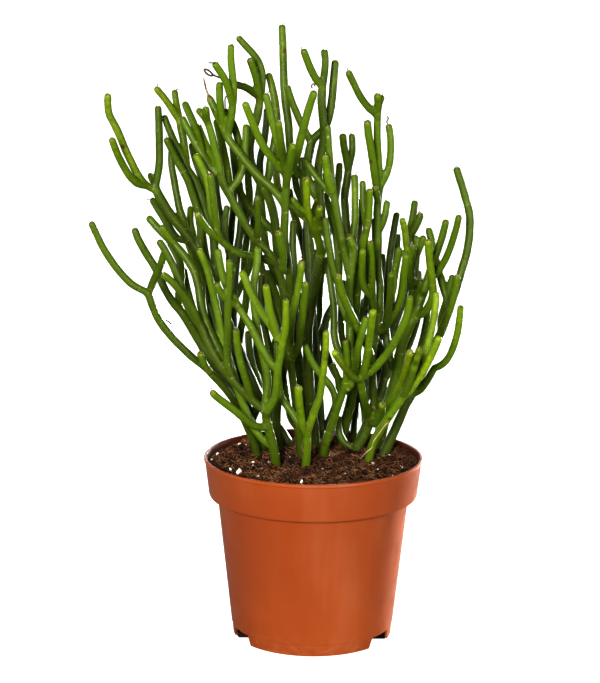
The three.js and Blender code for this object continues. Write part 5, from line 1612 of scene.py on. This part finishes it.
def smooth_thread(knots):
    """The smooth way, in metres, through points given across, up and behind the middle plane."""
    knots = [np.array(knot) for knot in knots]
    steps = KNOTS_BETWEEN * (len(knots) - 1)
    return [Vector(in_space(*point_on_way(knots, step / steps))) * MM for step in range(steps + 1)]


def leaflet(course):
    """A dried leaf: a short thread that curls away from a twig's tip."""
    ahead = course.ahead(-2)
    side = ahead.orthogonal().normalized()
    side.rotate(Matrix.Rotation(looks.uniform(0, FULL_TURN), 3, ahead))
    place = course.points[-3] + side * course.radii[-3] * LEAFLET_SINKS
    heading = (ahead * looks.uniform(*LEAFLET_LEANS) + side).normalized()
    points = [place * MM]
    for step in range(LEAFLET_STEPS):
        place = place + heading * looks.uniform(*LEAFLET_STRIDE_MM)
        heading = (heading + Vector([looks.gauss(0, LEAFLET_CURL) for _ in range(3)])).normalized()
        points.append(place * MM)
    return thread(points, looks.uniform(*LEAFLET_RADIUS_MM))


shoots = [course for courses in stem_courses.values() for course in courses if looks.random() < LEAFLET_SHARE]
wisps = [thread(smooth_thread([(*seen, behind) for seen in zip(way[::2], way[1::2])]), radius)
         for behind, radius, way in WISPS_MM]
wisps += [leaflet(course) for course in shoots if not course.withers]
leaf_paint = Finish("dry_leaf", roughness=0.8, first_colour=DRY_LEAF_DARK)
leaf_paint.coat(leaf_paint.mask(patches, Scale=180, Detail=2, Low=0.35, High=0.65), DRY_LEAF_LIGHT)
finished_piece("dry_wisps", tubes("dry_wisps", wisps, roundness=1), leaf_paint.finished())

# %% [markdown]
# ## The straw
# A bleached straw stands in the soil at the front and leans on the stems. Its knots are written across,
# up and behind, because it passes from one stem's front to the next.

# %% Straw
STRAW_MM = [(29.8, 143.5, 21), (35.8, 139.6, 12.5), (40.7, 144.2, -1.9), (45.5, 148.7, -3.6),
            (46.5, 153.2, -5.3), (50.3, 159, -8.8), (55.7, 166.9, -14.2), (58.9, 169.1, -14.2)]
STRAW_RADIUS_MM = 0.42
STRAW_DARK = (0.28, 0.19, 0.095)
STRAW_BLEACHED = (0.50, 0.40, 0.24)

straw_paint = Finish("bleached_straw", roughness=0.7, first_colour=STRAW_DARK)
straw_paint.coat(straw_paint.mask(patches, Scale=240, Detail=3, Low=0.35, High=0.65), STRAW_BLEACHED)
straw = tubes("dry_straw", [thread(smooth_thread(STRAW_MM), STRAW_RADIUS_MM)], roundness=2)
finished_piece("dry_straw", straw, straw_paint.finished())

# %% [markdown]
# ## The studio's floor and surround
# The photograph has a white surround. A large pale floor and a white world give it: both are bright
# to the camera, and give the plant itself only a little light, so that its own lamps shape it. Under
# the pot the floor carries a painted shadow: it is painted dark and does not glow there, and this
# shows through the notches.

# %% Floor and world
SURROUND_LIGHT = 0.03
FLOOR_SEEN_NEAR = 0.92
FLOOR_SEEN_FAR = 1.02
NEAR_THE_POT, FAR_FROM_POT = 0.15, 0.60
FLOOR_SIZE = 8
FLOOR_GREY = (0.14, 0.14, 0.14)
FLOOR_PAINTED_SHADOW = (0.05, 0.022, 0.010)
SHADED_RADIUS = 61 * MM
SHADED_FROM = -22 * MM
WHITE = (1, 1, 1)

ground = Finish("studio_floor", roughness=0.9, first_colour=FLOOR_PAINTED_SHADOW)
from_pot = ground.add("ShaderNodeVectorMath", {"operation": "LENGTH"}, Vector=ground.place).outputs["Value"]
# painted shadow: inside the foot's radius and behind SHADED_FROM the floor keeps a dark brown-black colour
# and gets no glow
outside_painted_shadow = ground.maths("MAXIMUM", ground.maths("GREATER_THAN", from_pot, SHADED_RADIUS),
                   ground.maths("LESS_THAN", ground.along(ground.place, "Y"), SHADED_FROM))
glow = ground.remap(from_pot, NEAR_THE_POT, FAR_FROM_POT, FLOOR_SEEN_NEAR, FLOOR_SEEN_FAR)
seen = ground.add("ShaderNodeLightPath").outputs["Is Camera Ray"]
ground.coat(outside_painted_shadow, FLOOR_GREY)
ground.give("Emission Color", WHITE)
ground.give("Emission Strength", ground.maths("MULTIPLY", seen, ground.maths("MULTIPLY", glow, outside_painted_shadow)))
floor_bm = bmesh.new()
bmesh.ops.create_grid(floor_bm, x_segments=1, y_segments=1, size=FLOOR_SIZE)
floor = new_object("studio_floor", mesh_from(floor_bm, "studio_floor"))
floor.data.materials.append(ground.finished())

world = bpy.data.worlds.new("white_surround")
world.use_nodes = True
sky = Nodes(world.node_tree)
surround = sky.tree.nodes["Background"]
seen = sky.add("ShaderNodeLightPath").outputs["Is Camera Ray"]
sky.plug(surround.inputs["Color"], WHITE)
sky.plug(surround.inputs["Strength"], sky.maths("MAXIMUM", seen, SURROUND_LIGHT))
bpy.context.scene.world = world

# %% [markdown]
# ## Lamps
# The light is soft. A strong lamp stands in front, above and a little to the left, and a weaker one
# low on the right fills the shade. One behind and above lights the tips from the back, and two at the
# sides do so for the other views. Two narrow ones low behind give the pot its pale edges. Each lamp is
# a round disk, and none is seen itself.

# %% Lamps: name, where it stands, what it aims at, width, watts, spread in degrees
LAMPS = [
    ("key_lamp", (-0.50, -2.30, 0.95), (0, 0, 0.20), 0.70, 73, 180),
    ("fill_lamp", (1.20, -1.70, 0.25), (0, 0, 0.12), 0.60, 20, 180),
    ("left_lamp", (-0.9, 1.08, 0.10), (0, 0, 0.05), 0.40, 0.10, 15),
    ("right_lamp", (0.9, 1.08, 0.10), (0, 0, 0.05), 0.40, 1.50, 15),
    ("back_lamp", (0, 1.40, 1.15), (0, 0, 0.15), 0.40, 23, 180),
    ("left_side_lamp", (-1.50, -0.20, 0.40), (0, 0, 0.15), 0.40, 7, 180),
    ("right_side_lamp", (1.50, 0.0, 0.45), (0, 0, 0.20), 0.40, 4, 180),
]

for name, where, aim, width, watts, spread in LAMPS:
    lamp_data = bpy.data.lights.new(name, "AREA")
    lamp_data.shape = "DISK"
    lamp_data.size = width
    lamp_data.energy = watts
    lamp_data.spread = math.radians(spread)
    lamp = new_object(name, lamp_data)
    lamp.location = where
    lamp.rotation_euler = (Vector(aim) - Vector(where)).to_track_quat("-Z", "Y").to_euler()
    lamp.visible_camera = False
bpy.context.scene.view_settings.view_transform = "Standard"
bpy.context.scene.view_settings.look = "High Contrast"
print(len(LAMPS), "lamps")
